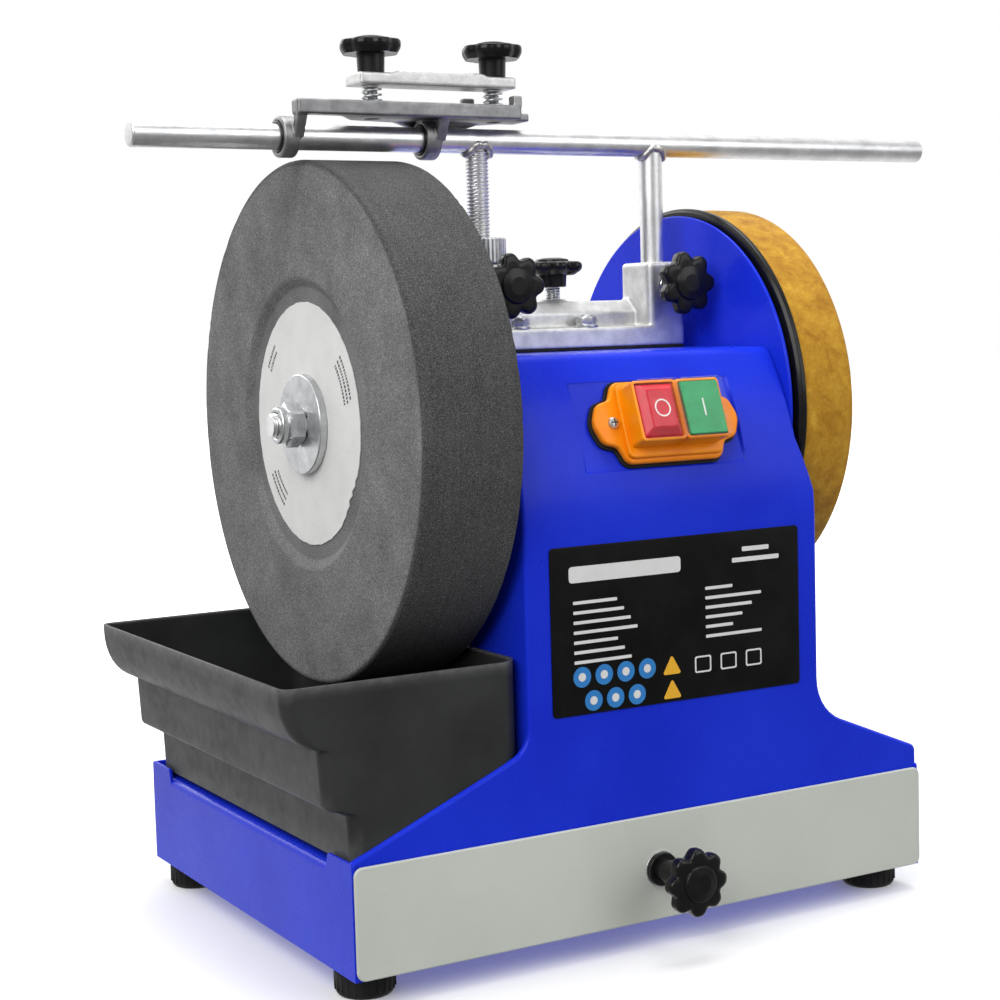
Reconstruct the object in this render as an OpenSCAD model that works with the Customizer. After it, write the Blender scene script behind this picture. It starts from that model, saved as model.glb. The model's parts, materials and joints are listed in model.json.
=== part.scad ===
// Wet grinding sharpener with a water-cooled stone, a leather stropping wheel and a tool support bar.
// +X runs along the wheel shaft from the stone to the strop wheel, +Y to the back and +Z up.
// The origin is on the floor, under the middle of the whole machine, and the shaft axis is at Y = 0.
// Every part is drawn in shaft coordinates: X from the stone's outer face, Y from the shaft, Z from the floor.

/* [Wheels] */
// Height of the shaft axis above the floor
shaft_h = 250; // [248:1:252]
// Diameter of the wheel shaft
shaft_d = 12; // [10:0.5:12]
// Diameter of the grinding stone
stone_d = 250; // [245:1:250]
// Thickness of the grinding stone
stone_w = 50; // [40:1:50]
// Diameter of the shallow recess in the stone's faces
recess_d = 138; // [120:1:150]
// Diameter of the leather strop wheel
strop_d = 204; // [200:1:204]
// Width of the leather band
strop_w = 30; // [24:1:31]
// X of the leather band's inner edge
strop_x = 224.5; // [224:0.5:226]

/* [Base] */
// Left side of the base
base_x0 = -34; // [-36:1:-32]
// Right side of the base
base_x1 = 287; // [280:1:290]
// Front of the base
base_front = -110; // [-111:1:-110]
// Back of the base
base_back = 138; // [134:1:140]
// Height of the base's bottom above the floor
base_z0 = 12.5; // [12:0.5:14]
// Height of the base's deck above the floor
deck_z = 60; // [58:1:62]
// Height of the raised corner tabs above the deck
tab_h = 5; // [3:1:6]
// Diameter of a rubber foot
foot_d = 28; // [24:1:30]

/* [Housing] */
// Left side of the motor housing
house_x0 = 57.5; // [57.5:0.5:58.5]
// Right edge of the housing's front sheet
house_x1 = 224; // [220:1:226]
// Top of the housing
house_top = 280.5; // [278:0.5:281]
// Outer face of the front sheet's upright part
house_front = -109; // [-109.5:0.5:-108.5]
// Height where the front sheet starts to lean back
lean_z = 195; // [194:1:198]
// Radius of the front sheet's lean
lean_r = 150; // [145:1:160]
// Back of the housing
house_back = 88; // [84:1:92]
// Radius of the round guard beside the strop wheel
guard_r = 99; // [96:0.5:100]

/* [Tool support] */
// Diameter of the support bar and of its legs
bar_d = 12; // [10:0.5:12]
// Length of the support bar
bar_len = 462; // [440:2:466]
// Left end of the support bar
bar_x0 = -85; // [-85:1:-80]
// Y of the bar and of its legs
bar_y = -13; // [-13:1:-12]
// Height of the bar's axis
bar_z = 384.6; // [384:0.2:388]
// X of the threaded leg
leg_x0 = 93; // [92:1:94]
// Distance between the two legs
leg_pitch = 103; // [102:1:104]
// Height of the top of the bracket's towers
tower_top = 324.5; // [320:0.5:325]

/* [Water trough] */
// Height of the trough's rim
rim_z = 144; // [140:1:146]
// Thickness of the trough's walls
trough_t = 2; // [1.5:0.5:2.5]

/* [Drive] */
// Inner diameter of the drum's rubber lining
liner_d = 176; // [170:1:176]
// Diameter of the motor's drive spindle
spindle_d = 11; // [10:1:12]
// Y of the motor's axis
motor_y = 22; // [20:1:24]
// Diameter of the motor case
motor_d = 92; // [88:2:92]

/* [Hidden] */
$fn = 64;

// X of the stone's outer face in the model, which puts the middle of the bar over the origin
stone_x = -(bar_x0 + bar_len / 2);
sheet = 1.5;            // thickness of the housing's sheet metal
wall = 2;               // thickness of the base's sheet metal
run_gap = 0.05;         // radial clearance of a shaft in its bush
shaft_r = shaft_d / 2;
bar_r = bar_d / 2;
leg_x1 = leg_x0 + leg_pitch;
tab_len = 28;           // length of a raised corner tab
eps = 0.01;             // how far a cutting tool runs past a face

// ---- helpers ----
// Moves shaft coordinates into the model's own frame
module machine() {
    translate([stone_x, 0, 0]) children();
}

// A cylinder along X, starting at x, on the axis (y, z)
module rod_x(x, y, z, r, len) {
    translate([x, y, z]) rotate([0, 90, 0]) cylinder(r = r, h = len);
}

// A cylinder along Y, starting at y, on the axis (x, z)
module rod_y(x, y, z, r, len) {
    translate([x, y, z]) rotate([-90, 0, 0]) cylinder(r = r, h = len);
}

// A tube along X
module tube_x(x, y, z, ro, ri, len) {
    difference() {
        rod_x(x, y, z, ro, len);
        rod_x(x - 1, y, z, ri, len + 2);
    }
}

// A box given by its two corners
module block(x0, y0, z0, x1, y1, z1) {
    translate([x0, y0, z0]) cube([x1 - x0, y1 - y0, z1 - z0]);
}

// Stands an XZ outline up as a plate from y to y + t
module plate_xz(y, t) {
    translate([0, y + t, 0]) rotate([90, 0, 0]) linear_extrude(t) children();
}

// Stands a YZ outline up as a plate from x to x + t
module plate_yz(x, t) {
    translate([x, 0, 0]) rotate([90, 0, 90]) linear_extrude(t) children();
}

// A flat rectangle with round corners, centred
module round_rect(w, h, r) {
    square([w - 2 * r, h], center = true);
    square([w, h - 2 * r], center = true);
    for (sx = [-1, 1], sy = [-1, 1])
        translate([sx * (w / 2 - r), sy * (h / 2 - r)]) circle(r);
}

function arc(cx, cy, rx, ry, a0, a1, n) =
    [for (i = [0:n]) let (a = a0 + (a1 - a0) * i / n) [cx + rx * cos(a), cy + ry * sin(a)]];

// ---- housing outline ----
flare_a = 22.5;         // slope of the housing's flared foot
foot_z = deck_z + tab_h;
left_fillet = 14;
right_fillet = 24;
top_x1 = 216.9;         // right edge of the housing's top, beside the guard disc
narrow_z = [210, 236];  // where the front sheet's right edge narrows to the top's width
top_fold = 8;           // radius of the fold between the front and the top
foot_end = 74;          // height of the right foot's outer end

// A concave fillet between the sloping foot and an upright side; dir is +1 where the foot runs to the left
function foot_fillet(x, zc, r, dir) =
    let (t = r * tan((90 - flare_a) / 2))
    arc(x - dir * r, zc + t, dir * r, r, -(90 - flare_a), 0, 8);

function reversed(v) = [for (i = [len(v) - 1:-1:0]) v[i]];

// The front sheet seen from the front, with a foot that flares to the base's corners
function front_outline() =
    let (
        left_zc = foot_z + (house_x0 - base_x0) * tan(flare_a),
        right_zc = foot_end + (base_x1 - house_x1) * tan(flare_a)
    )
    concat(
        [[base_x0, deck_z], [base_x0, foot_z]],
        foot_fillet(house_x0, left_zc, left_fillet, 1),
        [[house_x0, house_top + 1], [top_x1, house_top + 1], [top_x1, narrow_z[1]], [house_x1, narrow_z[0]]],
        reversed(foot_fillet(house_x1, right_zc, right_fillet, -1)),
        [[base_x1, foot_end], [base_x1, deck_z]]
    );

// The housing seen from the side, in Y and Z, drawn in by inset: upright, then leaning back, then flat on top
lean_y = house_front + lean_r;
fold_z = house_top - top_fold;
fold_a = asin((fold_z - lean_z) / (lean_r - top_fold));
fold_y = lean_y - (lean_r - top_fold) * cos(fold_a);
function side_profile(inset, past) = concat(
    [[house_back + past, deck_z - past], [house_front + inset, deck_z - past]],
    arc(lean_y, lean_z, lean_r - inset, lean_r - inset, 180, 180 - fold_a, 12),
    arc(fold_y, fold_z, top_fold - inset, top_fold - inset, 180 - fold_a, 90, 6),
    [[house_back + past, house_top - inset]]
);

// ---- base ----
feet_x = [base_x0 + 15, base_x1 - 15];
feet_y = [base_front + 22, base_back - 20];
gland_x = 250;
gland_z = 40;

module base_frame() machine() color("mediumblue") {
    difference() {
        block(base_x0, base_front, base_z0, base_x1, base_back, foot_z);
        // the drawer bay, open at the front and at the bottom
        block(base_x0 + wall, base_front - 1, base_z0 - 1, base_x1 - wall, base_back - wall, deck_z - wall);
        // the deck, inside the raised rim
        block(base_x0 + wall, base_front - 1, deck_z, base_x1 - wall, base_back - wall, foot_z + 1);
        // the rim comes down to the deck between the corner tabs
        block(base_x0 - 1, base_front + tab_len, deck_z, base_x1 + 1, base_back - tab_len, foot_z + 1);
        block(base_x0 + tab_len, base_front - 1, deck_z, base_x1 - tab_len, base_back + 1, foot_z + 1);
        // room for the front sheet's foot
        block(base_x0 - 1, base_front - 1, deck_z, base_x1 + 1, house_front + sheet, foot_z + 1);
        rod_y(gland_x, base_back - wall - 1, gland_z, 8, wall + 2);
    }
}

module base_floor() machine() color("mediumblue") {
    difference() {
        block(base_x0 + wall, base_front, base_z0, base_x1 - wall, base_back - wall, base_z0 + wall);
        for (x = feet_x, y = feet_y)
            translate([x, y, base_z0 - 1]) cylinder(d = 5.2, h = wall + 2);
    }
}

module rubber_feet() machine() color("black") {
    for (x = feet_x, y = feet_y)
        translate([x, y, 0]) rotate_extrude()
            polygon([[2.5, 3], [8, 3], [9, 0], [foot_d / 2 - 2, 0], [foot_d / 2 - 0.5, 1.5],
                     [foot_d / 2, base_z0], [2.5, base_z0]]);
}

module foot_screws() machine() color("silver") {
    for (x = feet_x, y = feet_y) translate([x, y, 0]) {
        translate([0, 0, 4]) cylinder(r = 2.45, h = base_z0 + wall - 4);
        translate([0, 0, base_z0 + wall]) cylinder(r = 4.2, h = 1.7);
    }
}

// ---- motor housing ----
// Puts children on the leaning sheet: X to the right, -Y out of the sheet and Z up the slope
module on_switch() {
    translate([switch_x, lean_y - lean_r * cos(switch_tilt), switch_z]) rotate([-switch_tilt, 0, 0]) children();
}

switch_x = 141.5;
switch_z = 247;
switch_tilt = asin((switch_z - lean_z) / lean_r);
pocket_d = 2;           // depth of the switch's flat seat below the sheet
pocket_x = [-48.5, 43]; // ends of the seat
pocket_h = 44;
cap_w = 21.4;           // width of a button
cap_h = 26;             // height of a button

module housing_shell() machine() color("mediumblue") {
    difference() {
        intersection() {
            plate_yz(base_x0, base_x1 - base_x0) difference() {
                polygon(side_profile(0, 0));
                polygon(side_profile(sheet, 1));
            }
            plate_xz(house_front - 1, house_back - house_front + 2) polygon(front_outline());
        }
        for (x = [leg_x0, leg_x1])
            translate([x, bar_y, house_top - 5]) cylinder(r = 7.5, h = 10);
        for (b = bolts) translate([b[0], b[1], house_top - 5]) cylinder(r = 3.3, h = 10);
        on_switch() block(pocket_x[0], -10, -pocket_h / 2, pocket_x[1], pocket_d + sheet, pocket_h / 2);
    }
    // the flat seat for the switch, pressed into the leaning sheet
    on_switch() difference() {
        block(pocket_x[0], pocket_d, -pocket_h / 2, pocket_x[1], pocket_d + sheet, pocket_h / 2);
        block(-28, pocket_d - 1, -17.5, 28, pocket_d + sheet + 1, 17.5);
    }
}

module left_side_plate() machine() color("mediumblue") {
    plate_yz(house_x0, sheet) difference() {
        intersection() {
            polygon(side_profile(sheet, 0));
            translate([-200, deck_z]) square([400, 300]);
        }
        translate([0, shaft_h]) circle(12);
    }
}

guard_x = 217;
guard_front = house_front + sheet + 0.3;

module drive_guard() machine() color("mediumblue") {
    plate_yz(guard_x, 2) difference() {
        union() {
            translate([0, shaft_h]) circle(guard_r, $fn = 96);
            polygon([[guard_front, deck_z], [house_back, deck_z], [house_back, 200],
                     [guard_r - 6, shaft_h - 30], [-guard_r + 6, shaft_h - 30], [guard_front, 196]]);
        }
        translate([0, shaft_h]) circle(12);
        translate([motor_y, motor_z]) circle(13);
    }
}

cover_y = house_back - sheet;
cover_screw_x = [70, 205];
cover_screw_z = [76, 190];

module rear_cover() machine() color("mediumblue") {
    difference() {
        block(house_x0 + sheet, cover_y, deck_z, top_x1, house_back, house_top - sheet);
        for (i = [0:7]) block(100, cover_y - 1, 120 + 9 * i, 180, cover_y + sheet + 1, 123.5 + 9 * i);
        for (x = cover_screw_x, z = cover_screw_z) rod_y(x, cover_y - 1, z, 2.1, sheet + 2);
    }
}

module cover_screws() machine() color("silver") {
    for (x = cover_screw_x, z = cover_screw_z) {
        rod_y(x, cover_y - 8, z, 2, sheet + 8);
        rod_y(x, cover_y + sheet, z, 3.8, 2.2);
    }
}

module label_plate() machine() color("black") {
    plate_xz(house_front - 0.6, 0.6) translate([141, 154.5]) round_rect(142, 78, 2);
}

module shaft_bushes() machine() color("peru") {
    difference() {
        union() {
            rod_x(house_x0 - 1.5, 0, shaft_h, 12, 14);
            rod_x(house_x0 + sheet, 0, shaft_h, 17, 3);
        }
        rod_x(house_x0 - 3, 0, shaft_h, shaft_r + run_gap, 20);
    }
    difference() {
        union() {
            rod_x(guard_x - 10, 0, shaft_h, 12, 13);
            rod_x(guard_x - 3, 0, shaft_h, 17, 3);
        }
        rod_x(guard_x - 12, 0, shaft_h, shaft_r + run_gap, 20);
    }
}

module cable_gland() machine() color("black") {
    difference() {
        union() {
            rod_y(gland_x, base_back - wall - 6, gland_z, 7.95, wall + 6);
            rod_y(gland_x, base_back - wall - 7, gland_z, 11, 7);
            rod_y(gland_x, base_back, gland_z, 11, 3);
            rod_y(gland_x, base_back + 3, gland_z, 9, 5);
        }
        rod_y(gland_x, base_back - 20, gland_z, 3.75, 40);
    }
}

module run_capacitor() machine() color("gainsboro") {
    translate([80, 62, deck_z]) cylinder(r = 16, h = 56);
    translate([80, 62, deck_z + 56]) cylinder(r = 14, h = 4);
}

// ---- tool support bracket ----
bolts = [[110.4, -19.5], [150.5, -19.5], [116, 24], [172, 24]];
gasket_t = 1.2;
flange_z = house_top + gasket_t;
ledge_z = 292;
ridge_z = 305.5;
tower_y0 = -26;
tower_y1 = 1;
tower_w = 22;
bracket_x0 = leg_x0 - tower_w / 2;
bracket_x1 = leg_x1 + tower_w / 2;
rear_x = leg_x0 + leg_pitch / 2;
rear_y = 3;
rear_hub_z = 313;       // where the rear knob's hub starts
rest_bore_z = 292;      // height of the bore for a second, horizontal tool rest
rest_bore_y0 = -6;      // its blind end
bracket_back = 31;
lock_z = 313;

module bracket_gasket() machine() color("black") {
    difference() {
        block(bracket_x0, tower_y0 - 0.5, house_top, bracket_x1 - 0.5, bracket_back, flange_z);
        for (x = [leg_x0, leg_x1])
            translate([x, bar_y, house_top - 1]) cylinder(r = 7.5, h = 4);
        for (b = bolts) translate([b[0], b[1], house_top - 1]) cylinder(r = 3.3, h = 4);
    }
}

module support_bracket() machine() color("lightgray") {
    difference() {
        union() {
            block(bracket_x0, tower_y0, flange_z, bracket_x1, bracket_back, ledge_z);
            block(rear_x - 10.5, 0, flange_z, rear_x + 10.5, bracket_back, ridge_z - 1);
            translate([rear_x, rear_y, ridge_z - eps]) cylinder(r = 6.5, h = 1.3);
            // the ridge between the towers, with a sloping front edge
            translate([bracket_x0, 0, 0]) rotate([90, 0, 90]) linear_extrude(bracket_x1 - bracket_x0)
                polygon([[-13, ledge_z - eps], [-13, ridge_z - 6], [-7, ridge_z], [14, ridge_z],
                         [17, ridge_z - 4], [17, ledge_z - eps]]);
            for (x = [leg_x0, leg_x1]) {
                block(x - tower_w / 2, tower_y0, flange_z, x + tower_w / 2, tower_y1, tower_top - 1.5);
                block(x - tower_w / 2 + 1.5, tower_y0 + 1.5, flange_z, x + tower_w / 2 - 1.5,
                      tower_y1 - 1.5, tower_top);
            }
        }
        for (x = [leg_x0, leg_x1]) {
            translate([x, bar_y, flange_z - 1]) cylinder(r = bar_r + run_gap, h = 60);
            rod_y(x, tower_y0 - 1, lock_z, 4.1, tower_y0 + 26 - bar_y - bar_r + 9);
        }
        // bore for a second, horizontal tool rest, open at the back, and its clamp screw
        rod_y(rear_x, rest_bore_y0, rest_bore_z, bar_r + run_gap, bracket_back - rest_bore_y0 + 1);
        translate([rear_x, rear_y, rest_bore_z]) cylinder(r = 4.1, h = 20);
        for (b = bolts) translate([b[0], b[1], flange_z - 1]) cylinder(r = 3.3, h = 20);
    }
}

module bracket_bolts() machine() color("silver") {
    for (b = bolts) translate([b[0], b[1], 0]) {
        translate([0, 0, house_top - sheet - 8]) cylinder(r = 2.95, h = ledge_z - house_top + sheet + 8);
        translate([0, 0, ledge_z]) cylinder(r = 6, h = 1.4);
        translate([0, 0, ledge_z + 1.4]) cylinder(r = 5.5, h = 4.2, $fn = 6);
        translate([0, 0, house_top - sheet - 5.2]) cylinder(r = 5.5, h = 5.2, $fn = 6);
    }
}

// ---- clamp knobs ----
// A star with round notches, knob_r across its lobes
module star(knob_r, lobes) {
    difference() {
        circle(knob_r);
        for (i = [0:lobes - 1])
            rotate(360 * (i + 0.5) / lobes) translate([knob_r + 3.2, 0]) circle(5);
    }
}

// A male star knob on +Z: its hub starts at z = 0, and the stud runs down to -stud_len
module star_knob(stud_r, stud_len, hub_h, head_h, lobes, head_r) {
    cylinder(r = 7, h = hub_h + eps);
    translate([0, 0, hub_h]) linear_extrude(head_h) star(head_r, lobes);
    translate([0, 0, hub_h + head_h - eps]) cylinder(r = 9, h = 2);
    translate([0, 0, -stud_len]) cylinder(r = stud_r, h = stud_len + eps);
}

pad_gap = 0.3;          // what a clamp pad keeps from the leg
pad_y = bar_y - bar_r - pad_gap;

module front_pad(x) {
    rod_y(x, pad_y - 2.5, lock_z, 3.2, 2.5);
}

// hub_y is where the hub starts, in front of the tower
module front_knob(x, hub_y) {
    translate([x, hub_y, lock_z]) rotate([90, 0, 0])
        star_knob(4, pad_y - 2.5 - hub_y, 7, 9, 7, 16);
}

module left_pad() machine() color("goldenrod") front_pad(leg_x0);
module right_pad() machine() color("goldenrod") front_pad(leg_x1);
module left_lock_knob() machine() color("black") front_knob(leg_x0, -33);
module right_lock_knob() machine() color("black") front_knob(leg_x1, -30.5);

module rear_pad() machine() color("goldenrod") {
    translate([rear_x, rear_y, rest_bore_z + 7]) cylinder(r = 3.2, h = 2.5);
}

module rear_lock_knob() machine() color("black") {
    translate([rear_x, rear_y, rear_hub_z]) star_knob(4, rear_hub_z - rest_bore_z - 9.5, 6, 7, 7, 16);
}

// ---- support bar ----
leg_bottom = 256;

module bar_solid() {
    rod_x(bar_x0 + 1, bar_y, bar_z, bar_r, bar_len - 2);
    rod_x(bar_x0, bar_y, bar_z, bar_r - 1, bar_len);
}

module support_bar() machine() color("silver") bar_solid();

// A leg with its weld bead, cut to fit under the bar
module leg(x, r) {
    difference() {
        union() {
            translate([x, bar_y, leg_bottom + 1]) cylinder(r = r, h = bar_z - leg_bottom - 1);
            translate([x, bar_y, leg_bottom]) cylinder(r = r - 1, h = 2);
            translate([x, bar_y, bar_z - bar_r - 3]) cylinder(r1 = r, r2 = r + 2, h = 4.2);
        }
        bar_solid();
    }
}

module threaded_leg() machine() color("silver") leg(leg_x0, bar_r - 0.1);
module smooth_leg() machine() color("silver") leg(leg_x1, bar_r);

nut_r = 13.2;           // radius of the height nut

module adjust_nut() machine() color("silver") {
    difference() {
        translate([leg_x0, bar_y, tower_top + 0.2]) cylinder(r = nut_r, h = 12.5);
        translate([leg_x0, bar_y, tower_top - 1]) cylinder(r = bar_r, h = 16);
        for (i = [0:23]) rotate_about(leg_x0, bar_y, 15 * i)
            translate([leg_x0 + nut_r + 0.6, bar_y, tower_top - 1]) cylinder(r = 1.2, h = 16);
    }
}

module rotate_about(x, y, a) {
    translate([x, y, 0]) rotate(a) translate([-x, -y, 0]) children();
}

// ---- switch ----
gasket = 1.5;
plate_y = pocket_d - gasket;            // back of the switch plate, on its gasket
plate_t = 3.5;
frame_y = plate_y - plate_t - 12.4;     // front of the raised button frames
button_dx = 12.4;
button_dz = 1.5;        // how far the buttons sit above the plate's middle
ear_dx = 30.7;
frame_w = 24.6;         // width of a raised button frame
frame_h = 29.4;
slot_w = cap_w + 0.8;   // opening for a button
slot_h = cap_h + 0.8;

module switch_outline(grow) {
    round_rect(56 + 2 * grow, 39.8 + 2 * grow, 7);
    for (s = [-1, 1]) {
        translate([s * ear_dx, 0]) circle(10 + grow);
        translate([s * ear_dx / 2, 0]) square([ear_dx, 26 + 2 * grow], center = true);
    }
}

module switch_gasket() machine() color("black") on_switch() {
    plate_xz(plate_y, gasket) difference() {
        switch_outline(1.2);
        square([52, 34], center = true);
        for (s = [-1, 1]) translate([s * ear_dx, 0]) circle(2.2);
    }
}

module switch_plate() machine() color("orange") on_switch() {
    plate_xz(plate_y - plate_t, plate_t) difference() {
        switch_outline(0);
        for (s = [-1, 1]) {
            translate([s * button_dx, button_dz]) square([slot_w, slot_h], center = true);
            translate([s * ear_dx, 0]) circle(2.1);
        }
    }
    plate_xz(frame_y, plate_y - plate_t - frame_y + eps)
        for (s = [-1, 1]) translate([s * button_dx, button_dz]) difference() {
            round_rect(frame_w, frame_h, 2.5);
            square([slot_w, slot_h], center = true);
        }
}

module switch_covers() machine() color("white", 0.4) on_switch() {
    for (s = [-1, 1]) translate([s * button_dx, 0, button_dz]) {
        plate_xz(frame_y - 3.5, 3.5) difference() {
            round_rect(frame_w - 1, frame_h - 1, 2.5);
            square([slot_w, slot_h], center = true);
        }
        plate_xz(frame_y - 4.3, 0.8 + eps) round_rect(frame_w - 1, frame_h - 1, 2.5);
    }
}

module switch_screws() machine() color("silver") on_switch() {
    for (s = [-1, 1]) {
        rod_y(s * ear_dx, plate_y - plate_t - 1.8, 0, 3, 1.8);
        rod_y(s * ear_dx, plate_y - plate_t, 0, 2, plate_t);
    }
}

module switch_block() machine() color("black") on_switch() {
    block(-27, 7, -16.5, 27, 31, 16.5);
    for (s = [-1, 1]) block(s * 28.5 - 1.5, pocket_d + sheet, -16.5, s * 28.5 + 1.5, 31, 16.5);
}

module stop_button() machine() color("firebrick") on_switch() {
    translate([-button_dx, 0, button_dz]) {
        block(-cap_w / 2, frame_y + 1, -cap_h / 2, cap_w / 2, 3, cap_h / 2);
        plate_xz(frame_y - 1, 2 + eps) square([cap_w - 3, cap_h - 3], center = true);
        plate_xz(frame_y - 3, 2 + eps) square([cap_w - 8, cap_h - 8], center = true);
    }
}

module start_button() machine() color("seagreen") on_switch() {
    translate([button_dx, 0, button_dz])
        block(-cap_w / 2, frame_y - 1, -cap_h / 2, cap_w / 2, 3, cap_h / 2);
}

// ---- wheels ----
module main_shaft() machine() color("silver") {
    rod_x(-16, 0, shaft_h, shaft_r, 283);
    rod_x(-17, 0, shaft_h, shaft_r - 1, 285);
}

module grinding_stone() machine() color("dimgray") {
    difference() {
        union() {
            rod_x(1.5, 0, shaft_h, stone_d / 2, stone_w - 3, $fn = 128);
            rod_x(0, 0, shaft_h, stone_d / 2 - 1.5, stone_w, $fn = 128);
        }
        for (x = [-1, stone_w - 3]) rod_x(x, 0, shaft_h, recess_d / 2, 4);
        rod_x(-1, 0, shaft_h, shaft_r + run_gap, stone_w + 2);
    }
}

module paper_blotters() machine() color("white") {
    tube_x(2.4, 0, shaft_h, 58.5, 8, 0.6);
    tube_x(stone_w - 3, 0, shaft_h, 58.5, 8, 0.6);
}

module clamp_washers() machine() color("silver") {
    tube_x(-1.6, 0, shaft_h, 24, shaft_r + run_gap, 4);
    tube_x(stone_w - 2.4, 0, shaft_h, 24, shaft_r + run_gap, house_x0 - 2 - stone_w + 2.4);
    tube_x(strop_x + 27.5, 0, shaft_h, 18, shaft_r + run_gap, 3);
}

module lock_nuts() machine() color("silver") {
    for (x = [-14, strop_x + 30.5]) difference() {
        union() {
            rod_x(x > 0 ? x : x + 4, 0, shaft_h, 10.9, 8.4, $fn = 6);
            rod_x(x, 0, shaft_h, 8.8, 12.4);
        }
        rod_x(x - 1, 0, shaft_h, shaft_r + run_gap, 20);
    }
}

drum_x = strop_x - 4;

module strop_drum() machine() color("black") {
    difference() {
        union() {
            rod_x(drum_x, 0, shaft_h, strop_d / 2 + 0.8, 4, $fn = 96);
            rod_x(drum_x, 0, shaft_h, strop_d / 2 - 3.5, strop_w + 4.5, $fn = 96);
        }
        rod_x(drum_x - 1, 0, shaft_h, liner_d / 2 + 3, strop_w - 6);
        rod_x(strop_x + 23, 0, shaft_h, liner_d / 2 + 3, 10);
        rod_x(drum_x, 0, shaft_h, 16, 40);
    }
    difference() {
        union() {
            rod_x(drum_x + 1, 0, shaft_h, 17, 30.5);
            for (i = [0:5]) translate([0, 0, shaft_h]) rotate([60 * i + 30, 0, 0])
                block(strop_x + 16, 15, -2.5, strop_x + 26, liner_d / 2 + 3.5, 2.5);
        }
        rod_x(drum_x, 0, shaft_h, shaft_r + run_gap, 40);
    }
}

module drum_liner() machine() color("darkslategray") {
    tube_x(strop_x - 3, 0, shaft_h, liner_d / 2 + 3, liner_d / 2, 16.5);
}

module leather_band() machine() color("peru") {
    difference() {
        rod_x(strop_x, 0, shaft_h, strop_d / 2, strop_w, $fn = 96);
        rod_x(strop_x - 1, 0, shaft_h, strop_d / 2 - 3.5, strop_w + 2, $fn = 96);
    }
}

// ---- motor ----
spindle_r = spindle_d / 2;
motor_reach = liner_d / 2 - spindle_r - 0.2;    // from the shaft's axis to the motor's
motor_z = shaft_h - sqrt(motor_reach * motor_reach - motor_y * motor_y);
motor_r = motor_d / 2;
pivot_y = -50;
pivot_z = 150;

module motor_pivot_pin() machine() color("silver") {
    rod_x(house_x0 + sheet, pivot_y, pivot_z, 5, guard_x - house_x0 - sheet);
}

module motor_case() machine() color("silver") tube_x(100, motor_y, motor_z, motor_r, motor_r - 2.5, 96);

module motor_end_caps() machine() color("gray") {
    for (x = [94, 196]) difference() {
        union() {
            rod_x(x, motor_y, motor_z, motor_r, 6);
            rod_x(x - 3, motor_y, motor_z, 14, 12);
        }
        rod_x(x - 4, motor_y, motor_z, 5 + run_gap, 20);
    }
}

module motor_stator() machine() color("sienna") tube_x(122, motor_y, motor_z, motor_r - 2.5, 26.5, 52);

module motor_cradle() machine() color("darkgray") {
    for (x = [108, 182]) plate_yz(x, 4) difference() {
        union() {
            translate([motor_y, motor_z]) circle(motor_r + 4);
            translate([pivot_y, pivot_z]) circle(10);
            polygon([[pivot_y, pivot_z - 10], [motor_y, motor_z - motor_r - 4],
                     [motor_y, motor_z + 20], [pivot_y, pivot_z + 10]]);
        }
        translate([motor_y, motor_z]) circle(motor_r);
        translate([pivot_y, pivot_z]) circle(5 + run_gap);
    }
    tube_x(112 - eps, pivot_y, pivot_z, 8, 5 + run_gap, 70 + 2 * eps);
}

module motor_spindle() machine() color("silver") {
    rod_x(86, motor_y, motor_z, 5, 137);
    rod_x(221.5, motor_y, motor_z, spindle_r, 15);
}

module rotor_core() machine() color("gray") tube_x(124, motor_y, motor_z, 26, 5, 48);

module motor_fan() machine() color("black") {
    tube_x(108, motor_y, motor_z, 9, 5, 10);
    for (i = [0:8]) translate([108, motor_y, motor_z]) rotate([40 * i, 0, 0])
        block(0, 8.5, -1, 9, 36, 1);
    tube_x(116, motor_y, motor_z, 36, 8.5, 1.5);
}

// ---- drawer ----
box_x0 = base_x0 + wall + 1.5;
box_x1 = base_x1 - wall - 1.5;
box_z0 = base_z0 + wall + 2.4;
panel_t = 2;

module drawer_runners() machine() color("silver") {
    for (s = [0, 1]) {
        x = s == 0 ? base_x0 + wall : base_x1 - wall;
        d = s == 0 ? 1 : -1;
        block(min(x, x + d * 6), base_front + 2, base_z0 + wall, max(x, x + d * 6), base_back - wall,
              base_z0 + wall + 2);
        block(min(x, x + d), base_front + 2, base_z0 + wall, max(x, x + d), base_back - wall, base_z0 + 16);
    }
}

module drawer_box() machine() color("lightgray") {
    difference() {
        block(box_x0, base_front, box_z0, box_x1, 120, 54);
        block(box_x0 + 1.5, base_front + 1.5, box_z0 + 1.5, box_x1 - 1.5, 118.5, 60);
        rod_y(knob_x, base_front - 1, knob_z, 3.1, 4);
    }
}

knob_x = (base_x0 + base_x1) / 2 - 1;
knob_z = 37.5;

module drawer_front() machine() color("gainsboro") {
    plate_xz(base_front - panel_t, panel_t) difference() {
        translate([(base_x0 + base_x1) / 2, (base_z0 + deck_z + 4) / 2])
            round_rect(base_x1 - base_x0 - 1, deck_z + 3 - base_z0, 4);
        translate([knob_x, knob_z]) circle(3.1);
    }
}

module drawer_knob() machine() color("black") {
    translate([knob_x, base_front - panel_t - 19, knob_z]) rotate([90, 0, 0])
        star_knob(3, 24, 4, 9, 8, 16);
    rod_y(knob_x, base_front - panel_t - 3, knob_z, 8, 3);
    rod_y(knob_x, base_front - panel_t - 19.5, knob_z, 5.5, 17);
    rod_y(knob_x, base_front + 1.5, knob_z, 6, 4);
}

// ---- water trough ----
trough_y0 = -107;
trough_y1 = 130;

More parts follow.
